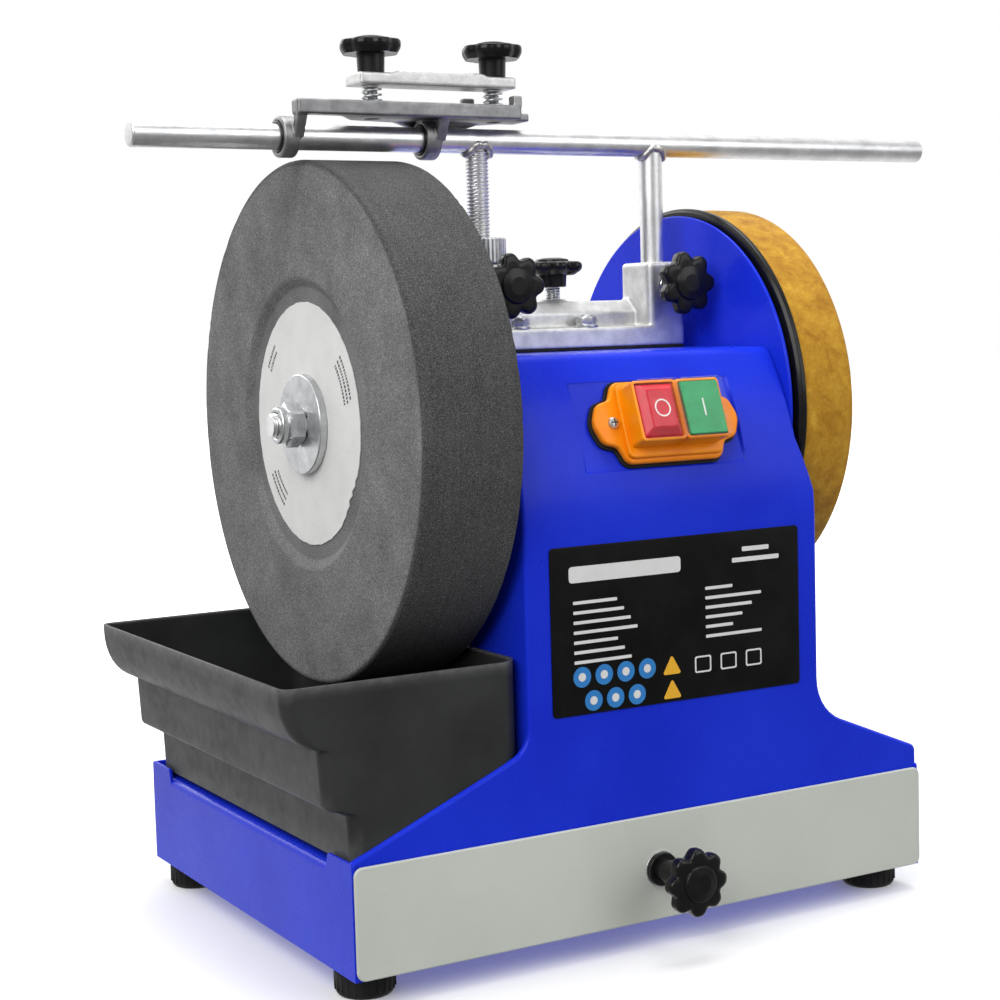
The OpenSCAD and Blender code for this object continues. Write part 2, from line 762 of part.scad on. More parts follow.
// The trough's cross-section: three steps on the outer side, drawn in by t
function trough_outline(t) = concat(
    [[56 - t, rim_z + t], [56 - t, deck_z + t], [-31.5 + t, deck_z + t],
     [-31.5 + t, 84 + t * 0.3], [-45 + t, 88 + t * 0.3], [-45 + t, 115.5 + t * 0.5]],
    arc(-45, 141, 17 - t, 25.5 - t * 0.5, 270, 180, 10),
    [[-62 + t, rim_z + t]]
);

module water_trough() machine() color("dimgray") {
    difference() {
        plate_xz(trough_y0, trough_y1 - trough_y0) intersection() {
            polygon(trough_outline(0));
            translate([-100, 0]) square([200, rim_z]);
        }
        plate_xz(trough_y0 + trough_t, trough_y1 - trough_y0 - 2 * trough_t)
            polygon(trough_outline(trough_t));
    }
}

// ---- blade jig on the bar ----
hook_x = [-13, 61.5];
hook_w = 8;
plate_z = bar_z + 9.4;
jig_t = 7;
jig_y0 = bar_y - 16;
jig_y1 = bar_y + 16;
clamp_z = plate_z + jig_t + 8.6;
clamp_t = 5.6;
screw_x = [36.5, 103];
jig_x0 = -9;
jig_x1 = 110.5;
bush_r = 7.4;

module jig_bushes() machine() color("black") {
    for (x = hook_x) tube_x(x - 0.5, bar_y, bar_z, bush_r, bar_r + run_gap, hook_w + 1);
}

module jig_base() machine() color("gray") {
    difference() {
        union() {
            // a rail along the front that widens backwards into the clamp's seat
            translate([0, 0, plate_z]) linear_extrude(jig_t) polygon([
                [jig_x0, jig_y0], [jig_x1, jig_y0], [jig_x1, jig_y1 - 8], [104, jig_y1],
                [66, jig_y1], [28, jig_y1 - 8], [16, jig_y0 + 8], [jig_x0, jig_y0 + 8]]);
            block(jig_x1 - eps, jig_y0 + 8, plate_z, jig_x1 + 8.5, jig_y1 - 8, plate_z + 4);
            for (x = hook_x) {
                rod_x(x, bar_y, bar_z, 9.6, hook_w);
                plate_yz(x + 4.5, 5) polygon([[bar_y - 9.5, bar_z], [bar_y - 7.6, bar_z],
                    [bar_y - 10, plate_z + 1], [jig_y0, plate_z + 1]]);
            }
            // gusset under the plate
            plate_xz(bar_y + 9, 3) polygon([[50, plate_z + eps], [68, plate_z - 5], [84, plate_z - 5],
                                            [104, plate_z + eps]]);
            // two small upright stops that square the blade
            block(93, jig_y1 - 3, plate_z + jig_t - eps, 100, jig_y1, plate_z + jig_t + 6);
            block(jig_x1 - 4, jig_y0, plate_z + jig_t - eps, jig_x1, jig_y0 + 6, plate_z + jig_t + 4.5);
        }
        for (x = hook_x) rod_x(x - 1, bar_y, bar_z, bush_r + run_gap, hook_w + 2);
        for (x = screw_x) translate([x, bar_y, plate_z - 1]) cylinder(r = 3 + run_gap, h = jig_t + 2);
    }
}

module clamp_bar() machine() color("silver") {
    difference() {
        union() {
            block(27, bar_y - 9, clamp_z, 111.5, bar_y + 9, clamp_z + clamp_t);
            block(46, bar_y - 6, clamp_z, 94, bar_y + 6, clamp_z + clamp_t + 1.2);
        }
        for (x = screw_x) translate([x, bar_y, clamp_z - 1]) cylinder(r = 3.4, h = clamp_t + 4);
    }
}

module clamp_springs() machine() color("silver") {
    for (x = screw_x) translate([x, bar_y, plate_z + jig_t]) difference() {
        cylinder(r = 5, h = clamp_z - plate_z - jig_t);
        translate([0, 0, -1]) cylinder(r = 3.6, h = 12);
    }
}

module clamp_knob(x) {
    translate([x, bar_y, clamp_z + clamp_t + 0.2])
        star_knob(3, clamp_z + clamp_t - plate_z - 1, 9, 6.5, 7, 15);
}

module left_clamp_knob() machine() color("black") clamp_knob(screw_x[0]);
module right_clamp_knob() machine() color("black") clamp_knob(screw_x[1]);

base_frame();
base_floor();
housing_shell();
left_side_plate();
drive_guard();
rear_cover();
cover_screws();
rubber_feet();
foot_screws();
shaft_bushes();
bracket_gasket();
support_bracket();
bracket_bolts();
label_plate();
switch_gasket();
switch_plate();
switch_covers();
switch_screws();
switch_block();
drawer_runners();
cable_gland();
motor_pivot_pin();
run_capacitor();
main_shaft();
grinding_stone();
paper_blotters();
clamp_washers();
lock_nuts();
strop_drum();
drum_liner();
leather_band();
motor_case();
motor_end_caps();
motor_stator();
motor_cradle();
motor_spindle();
rotor_core();
motor_fan();
support_bar();
threaded_leg();
smooth_leg();
adjust_nut();
left_pad();
left_lock_knob();
right_pad();
right_lock_knob();
rear_pad();
rear_lock_knob();
drawer_box();
drawer_front();
drawer_knob();
water_trough();
stop_button();
start_button();
jig_bushes();
jig_base();
clamp_bar();
clamp_springs();
left_clamp_knob();
right_clamp_knob();
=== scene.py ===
# Looks for the wet grinding sharpener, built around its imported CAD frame.
# Shapes are drawn in millimetres: X from the stone's outer face, Y from the shaft, Z from the floor.
import json
import math
import random

import bmesh
import bpy
from mathutils import Matrix, Vector
from mathutils.geometry import tessellate_polygon


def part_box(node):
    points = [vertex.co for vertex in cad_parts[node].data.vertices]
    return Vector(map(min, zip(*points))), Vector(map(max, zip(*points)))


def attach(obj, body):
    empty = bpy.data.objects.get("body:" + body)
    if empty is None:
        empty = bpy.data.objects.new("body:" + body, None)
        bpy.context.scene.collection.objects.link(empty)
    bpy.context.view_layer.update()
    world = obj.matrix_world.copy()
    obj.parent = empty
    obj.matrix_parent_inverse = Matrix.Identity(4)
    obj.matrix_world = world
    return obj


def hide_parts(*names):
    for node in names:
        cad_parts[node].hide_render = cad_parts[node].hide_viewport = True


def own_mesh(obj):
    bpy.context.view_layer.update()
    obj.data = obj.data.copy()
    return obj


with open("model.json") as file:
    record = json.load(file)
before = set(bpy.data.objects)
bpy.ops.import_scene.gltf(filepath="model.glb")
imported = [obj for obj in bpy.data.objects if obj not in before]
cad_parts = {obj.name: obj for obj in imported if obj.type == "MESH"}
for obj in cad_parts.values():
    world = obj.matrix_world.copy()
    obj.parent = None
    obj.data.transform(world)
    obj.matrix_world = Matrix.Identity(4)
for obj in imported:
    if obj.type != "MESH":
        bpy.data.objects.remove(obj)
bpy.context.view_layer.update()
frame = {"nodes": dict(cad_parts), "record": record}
random.seed(7)

MM = 0.001
TURN = 2 * math.pi
scene = bpy.context.scene
STONE_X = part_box("grinding_stone")[0].x
TO_MODEL = Matrix.Translation((STONE_X, 0, 0)) @ Matrix.Scale(MM, 4)


def box_mm(node):
    """A CAD node's lowest and highest corners in the drawing's millimetres."""
    lo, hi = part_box(node)
    return [Vector(((c.x - STONE_X) / MM, c.y / MM, c.z / MM)) for c in (lo, hi)]


def centre_mm(node):
    lo, hi = box_mm(node)
    return (lo + hi) / 2


# ---------------------------------------------------------------- materials
class Nodes:
    """A small helper for one material's node tree."""

    def __init__(self, name):
        self.mat = bpy.data.materials.new(name)
        self.mat.use_nodes = True
        self.tree = self.mat.node_tree
        self.shader = self.tree.nodes["Principled BSDF"]
        self.coord = self.add("ShaderNodeTexCoord").outputs["Object"]

    def add(self, kind, **settings):
        node = self.tree.nodes.new(kind)
        for key, value in settings.items():
            setattr(node, key, value)
        return node

    def link(self, a, b):
        self.tree.links.new(a, b)

    def stretched(self, scale):
        node = self.add("ShaderNodeMapping")
        node.inputs["Scale"].default_value = scale
        self.link(self.coord, node.inputs["Vector"])
        return node.outputs[0]

    def texture(self, kind, size_mm, output, vector=None, **inputs):
        """A procedural texture whose features are about size_mm across."""
        node = self.add(kind)
        node.inputs["Scale"].default_value = 1 / (size_mm * MM)
        for key, value in inputs.items():
            node.inputs[key].default_value = value
        self.link(vector or self.coord, node.inputs["Vector"])
        return node.outputs[output]

    def noise(self, size_mm, detail=4.0, rough=0.55, vector=None, distortion=0.0):
        return self.texture("ShaderNodeTexNoise", size_mm, "Fac", vector, Detail=detail, Roughness=rough,
                            Distortion=distortion)

    def cells(self, size_mm):
        return self.texture("ShaderNodeTexVoronoi", size_mm, "Distance")

    def ramp(self, fac, stops):
        node = self.add("ShaderNodeValToRGB")
        ramp = node.color_ramp
        while len(ramp.elements) < len(stops):
            ramp.elements.new(0.5)
        for element, (at, colour) in zip(ramp.elements, stops):
            element.position = at
            element.color = (*colour, 1)
        self.link(fac, node.inputs["Fac"])
        return node.outputs["Color"]

    def grey(self, fac, low, high, a=0.0, b=1.0):
        return self.ramp(fac, [(a, (low,) * 3), (b, (high,) * 3)])

    def feed(self, *pairs):
        """Sets or links each socket, whichever its value calls for."""
        for socket, value in pairs:
            if isinstance(value, (int, float)):
                socket.default_value = value
            elif isinstance(value, tuple):
                socket.default_value = (*value, 1)
            else:
                self.link(value, socket)

    def mix(self, fac, a, b, blend="MIX"):
        node = self.add("ShaderNodeMix", data_type="RGBA", blend_type=blend)
        self.feed((node.inputs[0], fac), (node.inputs[6], a), (node.inputs[7], b))
        return node.outputs[2]

    def math(self, operation, a, b=0.0):
        node = self.add("ShaderNodeMath", operation=operation)
        self.feed((node.inputs[0], a), (node.inputs[1], b))
        return node.outputs[0]

    def bump(self, height, depth_mm, under=None):
        node = self.add("ShaderNodeBump")
        node.inputs["Distance"].default_value = depth_mm * MM
        node.inputs["Strength"].default_value = 1.0
        self.link(height, node.inputs["Height"])
        if under is not None:
            self.link(under, node.inputs["Normal"])
        return node.outputs[0]

    def edge(self, low=0.52, high=0.6):
        """Near 1 on worn convex edges."""
        geometry = self.add("ShaderNodeNewGeometry")
        return self.grey(geometry.outputs["Pointiness"], 0, 1, low, high)

    def done(self, colour, rough, normal=None, metal=0.0, **sockets):
        self.link(colour, self.shader.inputs["Base Color"])
        self.link(rough, self.shader.inputs["Roughness"])
        self.shader.inputs["Metallic"].default_value = metal
        if normal is not None:
            self.link(normal, self.shader.inputs["Normal"])
        for key, value in sockets.items():
            self.shader.inputs[key.replace("_", " ")].default_value = value
        return self.mat


def neutral(value):
    """A grey with no tint."""
    return (value,) * 3


def coated(name, dark, light, rough, peel=(1.1, 0.02), blotch=60, coat=0.3, worn=None, dust=0.0, gloss=0.18):
    """Paint, powder coat or moulded plastic: slow colour drift, fine skin, smudged gloss, worn edges.

    peel is the skin's size and depth and blotch the drift's size, in millimetres.
    """
    n = Nodes(name)
    colour = n.mix(n.grey(n.noise(blotch, 3), 0, 1, 0.35, 0.65), dark, light)
    if dust:
        speck = n.grey(n.noise(0.9, 2), 0, dust, 0.6, 0.8)
        colour = n.mix(speck, colour, tuple(min(1, c * 2.2 + 0.05) for c in light))
    if worn:
        colour = n.mix(n.math("MULTIPLY", n.edge(), n.noise(4, 3)), colour, worn)
    smudge = n.math("MULTIPLY", n.noise(35, 4, 0.65), n.noise(6, 2))
    finish = n.grey(smudge, rough[0], rough[1], 0.1, 0.45)
    skin_bump = n.bump(n.noise(peel[0], 3), peel[1])
    return n.done(colour, finish, skin_bump, Coat_Weight=coat, Coat_Roughness=0.12, Specular_IOR_Level=gloss)


def metallic(name, dark, light, rough, grain, blotch, spots, stretch=(1, 1, 1)):
    """Bare, plated or cast metal: grain along one direction, cloudy plating, dark spots.

    grain is the grain's size and depth and blotch the clouds' size, in mm; spots is the spots' strength.
    """
    n = Nodes(name)
    along = n.stretched(stretch)
    colour = n.mix(n.grey(n.noise(blotch, 5, 0.6), 0, 1, 0.35, 0.68), dark, light)
    colour = n.mix(n.grey(n.noise(2.2, 4, 0.7), 0, spots, 0.6, 0.72), colour, tuple(c * 0.3 for c in dark))
    worn = tuple(min(1, c * 1.25) for c in light)
    colour = n.mix(n.math("MULTIPLY", n.edge(0.51, 0.58), 0.6), colour, worn)
    finish = n.grey(n.noise(grain[0], 5, 0.65, along), rough[0], rough[1], 0.3, 0.7)
    return n.done(colour, finish, n.bump(n.noise(grain[0], 4, 0.6, along), grain[1]), 1.0)


def stone_material():
    """Bonded abrasive: fine grit, bright sparkles, slow mottling and a darker tread worn in rings."""
    n = Nodes("grit_stone")
    place = n.add("ShaderNodeSeparateXYZ")
    n.link(n.coord, place.inputs[0])
    high = n.math("SUBTRACT", place.outputs[2], centre_mm("grinding_stone").z * MM)
    across_squared = n.math("MULTIPLY", place.outputs[1], place.outputs[1])
    square = n.math("ADD", across_squared, n.math("MULTIPLY", high, high))
    rim = (box_mm("grinding_stone")[1].z - centre_mm("grinding_stone").z) * MM
    tread = n.grey(n.math("DIVIDE", n.math("SQRT", square), rim), 0, 1, 0.976, 0.99)
    grit = n.noise(0.55, 3, 0.7)
    base = n.ramp(grit, [(0.34, (0.075, 0.075, 0.077)), (0.5, (0.150, 0.150, 0.153)),
                         (0.66, (0.30, 0.30, 0.305))])
    mottle = n.grey(n.noise(26, 5, 0.6), 0.72, 1.18, 0.3, 0.72)
    shade = n.mix(1.0, base, mottle, "MULTIPLY")
    rings = n.noise(1.6, 4, 0.6, n.stretched((1, 0.03, 0.03)))
    worn = n.ramp(rings, [(0.3, (0.008, 0.008, 0.009)), (0.7, (0.028, 0.028, 0.029))])
    worn = n.mix(n.grey(grit, 0, 0.6, 0.4, 0.7), worn, (0.13, 0.13, 0.133))
    colour = n.mix(n.math("MULTIPLY", tread, 0.8), shade, worn)
    sparkle = n.grey(n.cells(0.8), 1, 0, 0.1, 0.2)
    colour = n.mix(n.math("MULTIPLY", sparkle, 0.5), colour, (0.55, 0.55, 0.56))
    pits = n.bump(n.noise(0.7, 4, 0.75), 0.14, n.bump(n.noise(5, 3), 0.1))
    return n.done(colour, n.grey(grit, 0.75, 0.95), pits, Specular_IOR_Level=0.2)


def leather_material():
    """Honing leather, rough side out: ochre with brown clouds, pores and a short nap."""
    n = Nodes("honing_leather")
    cloud = n.noise(9, 7, 0.72, distortion=0.3)
    colour = n.ramp(cloud, [(0.25, (0.27, 0.110, 0.010)), (0.42, (0.40, 0.190, 0.014)),
                            (0.6, (0.53, 0.285, 0.026)), (0.8, (0.70, 0.44, 0.060))])
    fleck = n.grey(n.noise(1.3, 5, 0.75), 0, 0.55, 0.52, 0.74)
    colour = n.mix(fleck, colour, (0.27, 0.11, 0.015))
    pale = n.grey(n.noise(2.6, 5, 0.7), 0, 0.4, 0.6, 0.75)
    colour = n.mix(pale, colour, (0.85, 0.66, 0.2))
    fibres = n.bump(n.noise(0.6, 5, 0.75), 0.22, n.bump(n.noise(3.5, 4, 0.65), 0.35))
    return n.done(colour, n.grey(cloud, 0.68, 0.92), fibres, Sheen_Weight=0.08, Sheen_Roughness=0.5,
                  Specular_IOR_Level=0.1)


def paper_material(name, tint):
    """Blotting paper or printed film: fibres and faint stains."""
    n = Nodes(name)
    fibre = n.noise(0.8, 4, 0.7, n.stretched((1, 0.25, 1)))
    colour = n.mix(n.grey(n.noise(14, 4), 0, 0.5, 0.4, 0.75), tint, tuple(c * 0.84 for c in tint))
    colour = n.mix(n.grey(fibre, 0, 0.25, 0.45, 0.7), colour, tuple(c * 0.78 for c in tint))
    return n.done(colour, n.grey(fibre, 0.7, 0.9), n.bump(fibre, 0.05))


def clear_material():
    """The switch's clear flexible cover, faintly frosted and finger-marked."""
    n = Nodes("clear_cover")
    smear = n.noise(5, 4, 0.6)
    colour = n.mix(n.grey(smear, 0, 1, 0.4, 0.6), (0.93, 0.93, 0.94), (1.0, 1.0, 1.0))
    rim = n.add("ShaderNodeLayerWeight")
    rim.inputs["Blend"].default_value = 0.25
    n.link(n.grey(rim.outputs["Facing"], 0.012, 0.75, 0.4, 0.95), n.shader.inputs["Alpha"])
    return n.done(colour, n.grey(smear, 0.05, 0.2), n.bump(smear, 0.02), Specular_IOR_Level=0.6)


MATERIALS = {
    "blue_paint": coated("blue_powder_coat", (0.006, 0.022, 0.56), (0.010, 0.034, 0.66), (0.24, 0.36),
                         (1.3, 0.008), blotch=90, coat=0.03, gloss=0.12),
    "panel_paint": coated("panel_powder_coat", (0.53, 0.56, 0.51), (0.58, 0.61, 0.56), (0.34, 0.46),
                          (1.0, 0.02), blotch=70, coat=0.05, dust=0.1),
    "zinc": metallic("zinc_plate", (0.42, 0.43, 0.44), (0.68, 0.69, 0.70), (0.24, 0.44),
                     (2.0, 0.012), blotch=9, spots=0.25),
    "rubber": coated("black_rubber", neutral(0.010), neutral(0.022), (0.6, 0.8),
                     (0.7, 0.03), blotch=12, coat=0.0, dust=0.08),
    "bronze": metallic("sintered_bronze", (0.36, 0.22, 0.09), (0.62, 0.42, 0.19), (0.35, 0.5),
                       (0.6, 0.03), blotch=5, spots=0.4),
    "cast_aluminium": metallic("tumbled_casting", neutral(0.58), (0.78, 0.78, 0.77), (0.42, 0.6),
                               (0.8, 0.06), blotch=7, spots=0.25),
    "cast_grey": metallic("grey_casting", (0.21, 0.21, 0.215), (0.34, 0.34, 0.345), (0.4, 0.55),
                          (0.7, 0.07), blotch=8, spots=0.3),
    "label_black": coated("label_film", neutral(0.004), neutral(0.008), (0.3, 0.42),
                          (0.8, 0.008), blotch=25, coat=0.02, gloss=0.1),
    "switch_orange": coated("orange_plastic", (0.86, 0.230, 0.001), (0.96, 0.320, 0.001), (0.28, 0.4),
                            (0.9, 0.015), blotch=22, coat=0.1),
    "clear_cover": clear_material(),
    "black_plastic": coated("black_plastic", neutral(0.003), neutral(0.007), (0.24, 0.38),
                            (0.8, 0.015), blotch=15, coat=0.12, worn=neutral(0.02), gloss=0.2),
    "trough_plastic": coated("trough_plastic", (0.021, 0.022, 0.021), (0.033, 0.035, 0.034), (0.36, 0.52),
                             (0.55, 0.04), blotch=45, coat=0.03, worn=neutral(0.25), dust=0.08),
    "stop_red": coated("red_button", (0.52, 0.008, 0.024), (0.62, 0.014, 0.034), (0.2, 0.3),
                       (1.2, 0.006), blotch=12, coat=0.2, gloss=0.2),
    "start_green": coated("green_button", (0.010, 0.27, 0.085), (0.018, 0.34, 0.115), (0.25, 0.38),
                          (1.0, 0.015), blotch=12, coat=0.3),
    "bar_steel": metallic("drawn_steel", (0.58, 0.58, 0.59), (0.82, 0.82, 0.83), (0.28, 0.48),
                          (1.6, 0.02), blotch=10, spots=0.3, stretch=(0.12, 1, 0.12)),
    "motor_steel": metallic("motor_steel", (0.22, 0.22, 0.23), (0.36, 0.36, 0.37), (0.35, 0.5),
                            (1.2, 0.02), blotch=12, spots=0.3),
    "grindstone": stone_material(),
    "paper": paper_material("blotting_paper", neutral(0.70)),
    "leather": leather_material(),
}
PRINT_DARK = paper_material("dark_print", (0.10, 0.10, 0.105))
PRINT_PALE = paper_material("pale_print", neutral(0.72))
MARK_WHITE = paper_material("white_mark", (0.85, 0.85, 0.84))
PRINT_BLUE = paper_material("blue_print", (0.02, 0.20, 0.55))
PRINT_AMBER = paper_material("amber_print", (0.80, 0.42, 0.02))
RECESS_DARK = coated("recess_shadow", neutral(0.02), neutral(0.05), (0.5, 0.6))
WELD = metallic("weld_bead", (0.30, 0.29, 0.28), (0.58, 0.57, 0.56), (0.28, 0.55),
                (0.9, 0.08), blotch=3, spots=0.5)


# ---------------------------------------------------------------- outlines
def soften(points, radius, steps=5, closed=True):
    """Rounds an outline's corners. radius is one number, or one for each corner."""
    out = []
    count = len(points)
    for i, point in enumerate(points):
        r = radius[i] if isinstance(radius, (list, tuple)) else radius
        here = Vector(point)
        if r <= 0 or (not closed and i in (0, count - 1)):
            out.append(here)
            continue
        back = Vector(points[i - 1]) - here
        ahead = Vector(points[(i + 1) % count]) - here
        half = back.angle(ahead) / 2
        if half > 1.54:
            out.append(here)
            continue
        cut = min(r / math.tan(half), 0.48 * back.length, 0.48 * ahead.length)
        back.normalize()
        ahead.normalize()
        middle = here + (back + ahead).normalized() * (cut / math.cos(half))
        first, last = here + back * cut - middle, here + ahead * cut - middle
        for k in range(steps + 1):
            turn = k / steps
            spread = math.pi - 2 * half
            blend = (first * math.sin((1 - turn) * spread) + last * math.sin(turn * spread)) / math.sin(spread)
            out.append(middle + blend)
    return out


def around(count):
    """Directions spaced evenly round a turn."""
    return [TURN * k / count for k in range(count)]


def polar(radius, a, cx=0.0, cy=0.0):
    return Vector((cx + radius * math.cos(a), cy + radius * math.sin(a)))


def gap(a, b):
    """The angle between two directions."""
    return abs((a - b + math.pi) % TURN - math.pi)


def circle(radius, count=48, cx=0.0, cy=0.0):
    return [polar(radius, a, cx, cy) for a in around(count)]


def rectangle(w, h, r, steps=5, cx=0.0, cy=0.0):
    corners = [(cx + i * w / 2, cy + j * h / 2) for i, j in ((-1, -1), (1, -1), (1, 1), (-1, 1))]
    return soften(corners, r, steps) if r > 0 else [Vector(c) for c in corners]


def inset(points, amount):
    """Moves an anticlockwise outline inwards."""
    if abs(amount) < 1e-9:
        return [Vector(p) for p in points]
    out = []
    count = len(points)
    for i, point in enumerate(points):
        a = (Vector(point) - Vector(points[i - 1]))
        b = (Vector(points[(i + 1) % count]) - Vector(point))
        if a.length < 1e-9 or b.length < 1e-9:
            a = b = Vector(points[(i + 1) % count]) - Vector(points[i - 1])
        a.normalize()
        b.normalize()
        na, nb = Vector((-a.y, a.x)), Vector((-b.y, b.x))
        middle = na + nb
        if middle.length < 1e-6:
            middle = na
        middle.normalize()
        out.append(Vector(point) + middle * (amount / max(0.5, middle.dot(na))))
    return out


def anticlockwise(points):
    area = sum(a[0] * b[1] - b[0] * a[1] for a, b in zip([points[-1], *points], points))
    return [Vector(p) for p in (points if area > 0 else points[::-1])]


def lift(axis, u, v, h):
    """A point of an outline at height h along an axis."""
    return {"X": (h, u, v), "Y": (u, h, v), "Z": (u, v, h)}[axis]


def across(axis, point):
    """A point's two coordinates across an axis."""
    return [c for k, c in enumerate(point) if "XYZ"[k] != axis]


def foot(axis, point):
    """The point moved along an axis to height 0."""
    return Vector(lift(axis, *across(axis, point), 0))


def skin(bm, rows, closed=False, looped=True):
    """Faces between rows of vertices; closed joins the last row to the first, looped each row's two ends."""
    for a, b in zip(rows, rows[1:] + (rows[:1] if closed else [])):
        for i in range(len(a) if looped else len(a) - 1):
            j = (i + 1) % len(a)
            corners = list(dict.fromkeys((a[i], a[j], b[j], b[i])))
            if len(corners) > 2:
                bm.faces.new(corners)


# ---------------------------------------------------------------- solids
class Shape:
    """Collects closed solids, in the drawing's millimetres, into one mesh."""

    def __init__(self, at=None):
        self.bm = bmesh.new()
        self.at = at or Matrix.Identity(4)

    def take(self, part, mat):
        bmesh.ops.recalc_face_normals(part, faces=part.faces)
        for face in part.faces:
            face.material_index = mat
            face.smooth = True
        part.transform(self.at)
        mesh = bpy.data.meshes.new("part")
        part.to_mesh(mesh)
        part.free()
        self.bm.from_mesh(mesh)
        bpy.data.meshes.remove(mesh)

    def rings(self, loops, mat=0, closed=False):
        """Skins equal-length loops of points; closed joins the last loop to the first."""
        bm = bmesh.new()
        rows = [[bm.verts.new(p) for p in loop] for loop in loops]
        skin(bm, rows, closed)
        if not closed:
            bm.faces.new(rows[0][::-1])
            bm.faces.new(rows[-1])
        self.take(bm, mat)

    def prism(self, outline, axis, low, high, edge=0.5, mat=0, holes=(), steps=3):
        """An outline run along an axis, with rounded rims and straight holes."""
        bm = bmesh.new()

        def ring(points, h):
            return [bm.verts.new(lift(axis, p.x, p.y, h)) for p in points]

        profile = [(0, low)]
        if edge:
            profile = [(edge * (1 - math.sin(t)), low + edge * (1 - math.cos(t)))
                       for t in (math.pi / 2 * k / steps for k in range(steps + 1))]
        profile += [(i, high - (h - low)) for i, h in reversed(profile)]
        outline = anticlockwise(outline)
        rows = [ring(inset(outline, i), h) for i, h in profile]
        skin(bm, rows)
        if not holes:
            bm.faces.new(rows[0][::-1])
            bm.faces.new(rows[-1])
            return self.take(bm, mat)
        walls = [[ring(anticlockwise(hole), h) for h in (low, high)] for hole in holes]
        for wall in walls:
            skin(bm, wall[::-1])
        for end, row in ((0, rows[0]), (1, rows[-1])):
            loops = [row] + [wall[end] for wall in walls]
            flat = [[Vector((*across(axis, v.co), 0)) for v in loop] for loop in loops]
            verts = [v for loop in loops for v in loop]
            for triangle in tessellate_polygon(flat):
                bm.faces.new([verts[k] for k in triangle])
        self.take(bm, mat)

    def block(self, lo, hi, edge=0.6, mat=0, corner=None):
        """A box with rounded upright corners and top and bottom edges."""
        corner = edge if corner is None else corner
        outline = rectangle(hi[0] - lo[0], hi[1] - lo[1], corner, 3, (lo[0] + hi[0]) / 2, (lo[1] + hi[1]) / 2)
        self.prism(outline, "Z", lo[2], hi[2], edge, mat)

    def lathe(self, profile, axis, at, count=64, mat=0, wobble=None):
        """Turns a profile of (radius, height) about an axis through at; it may end on the axis."""
        bm = bmesh.new()
        poles = {}
        rows = []
        for a in around(count):
            row = []
            for i, (r, h) in enumerate(profile):
                vert = poles.get(i)
                if vert is None:
                    reach = r + (wobble(a, r, h) if wobble else 0.0)
                    side = lift(axis, reach * math.cos(a), reach * math.sin(a), h)
                    vert = bm.verts.new(Vector(at) + Vector(side))
                if r == 0:
                    poles[i] = vert
                row.append(vert)
            rows.append(row)
        skin(bm, rows, True, not poles)
        self.take(bm, mat)

    def rod(self, axis, at, radius, low, high, edge=0.5, count=40, mat=0, bore=0.0):
        """A turned rod or tube with rounded rims; at is any point on its axis."""
        rims = edge if bore else [0, edge, edge, 0]
        profile = soften([(bore, low), (radius, low), (radius, high), (bore, high)], rims, 3)
        self.lathe([(max(p.x, 0), p.y) for p in profile], axis, foot(axis, at), count, mat)

    def screw(self, axis, at, radius, low, high, pitch, depth, mat=0, count=28, rows=6):
        """A rod with a real helical thread, tapering off at both ends."""
        start = foot(axis, at)
        loops = []
        total = max(2, int((high - low) / pitch * rows))
        for k in range(total + 1):
            h = low + (high - low) * k / total
            fade = min(1.0, (h - low) / pitch + 0.15, (high - h) / pitch + 0.15)
            loop = []
            for a in around(count):
                phase = ((h - low) / pitch - a / TURN) % 1.0
                groove = abs(2 * phase - 1)
                r = (radius - depth * min(1.0, 1.25 * groove)) * (1 - 0.12 * (1 - fade))
                loop.append(start + Vector(lift(axis, r * math.cos(a), r * math.sin(a), h)))
            loops.append(loop)
        self.rings(loops, mat)

    def wire(self, path, radius, sides=10, mat=0, closed=False):
        """A round wire along a path; radius(t) is its radius at share t of the way along."""
        count = len(path)
        loops = []
        normal = None
        for i, p in enumerate(path):
            ahead = path[(i + 1) % count] if closed or i < count - 1 else p
            behind = path[i - 1] if closed or i > 0 else p
            along = (ahead - behind).normalized()
            if normal is None:
                normal = along.orthogonal().normalized()
            normal = (normal - along * normal.dot(along)).normalized()
            side = along.cross(normal)
            r = radius(i / count)
            loops.append([p + r * (math.cos(a) * normal + math.sin(a) * side) for a in around(sides)])
        self.rings(loops, mat, closed)

    def build(self, name, sharp=38.0):
        """The finished mesh object, moved into the model's frame."""
        self.bm.transform(TO_MODEL)
        mesh = bpy.data.meshes.new(name)
        self.bm.to_mesh(mesh)
        self.bm.free()
        obj = bpy.data.objects.new(name, mesh)
        scene.collection.objects.link(obj)
        mesh.set_sharp_from_angle(angle=math.radians(sharp))
        return obj


def modify(obj, kind, **settings):
    modifier = obj.modifiers.new(kind.lower(), kind)
    for key, value in settings.items():
        setattr(modifier, key, value)


def apply_modifiers(obj):
    """Bakes an object's modifiers into its mesh."""
    bpy.context.view_layer.update()
    graph = bpy.context.evaluated_depsgraph_get()
    mesh = bpy.data.meshes.new_from_object(obj.evaluated_get(graph), depsgraph=graph)
    obj.modifiers.clear()
    obj.data = mesh


def settle(obj, body, slot, nodes, extra=(), weighted=True):
    """Gives a piece its materials, its body and the CAD nodes it stands for."""
    for material in (MATERIALS[slot], *extra):
        obj.data.materials.append(material)
    if weighted:
        modify(obj, "WEIGHTED_NORMAL", keep_sharp=True)
    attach(obj, body)
    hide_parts(*nodes)


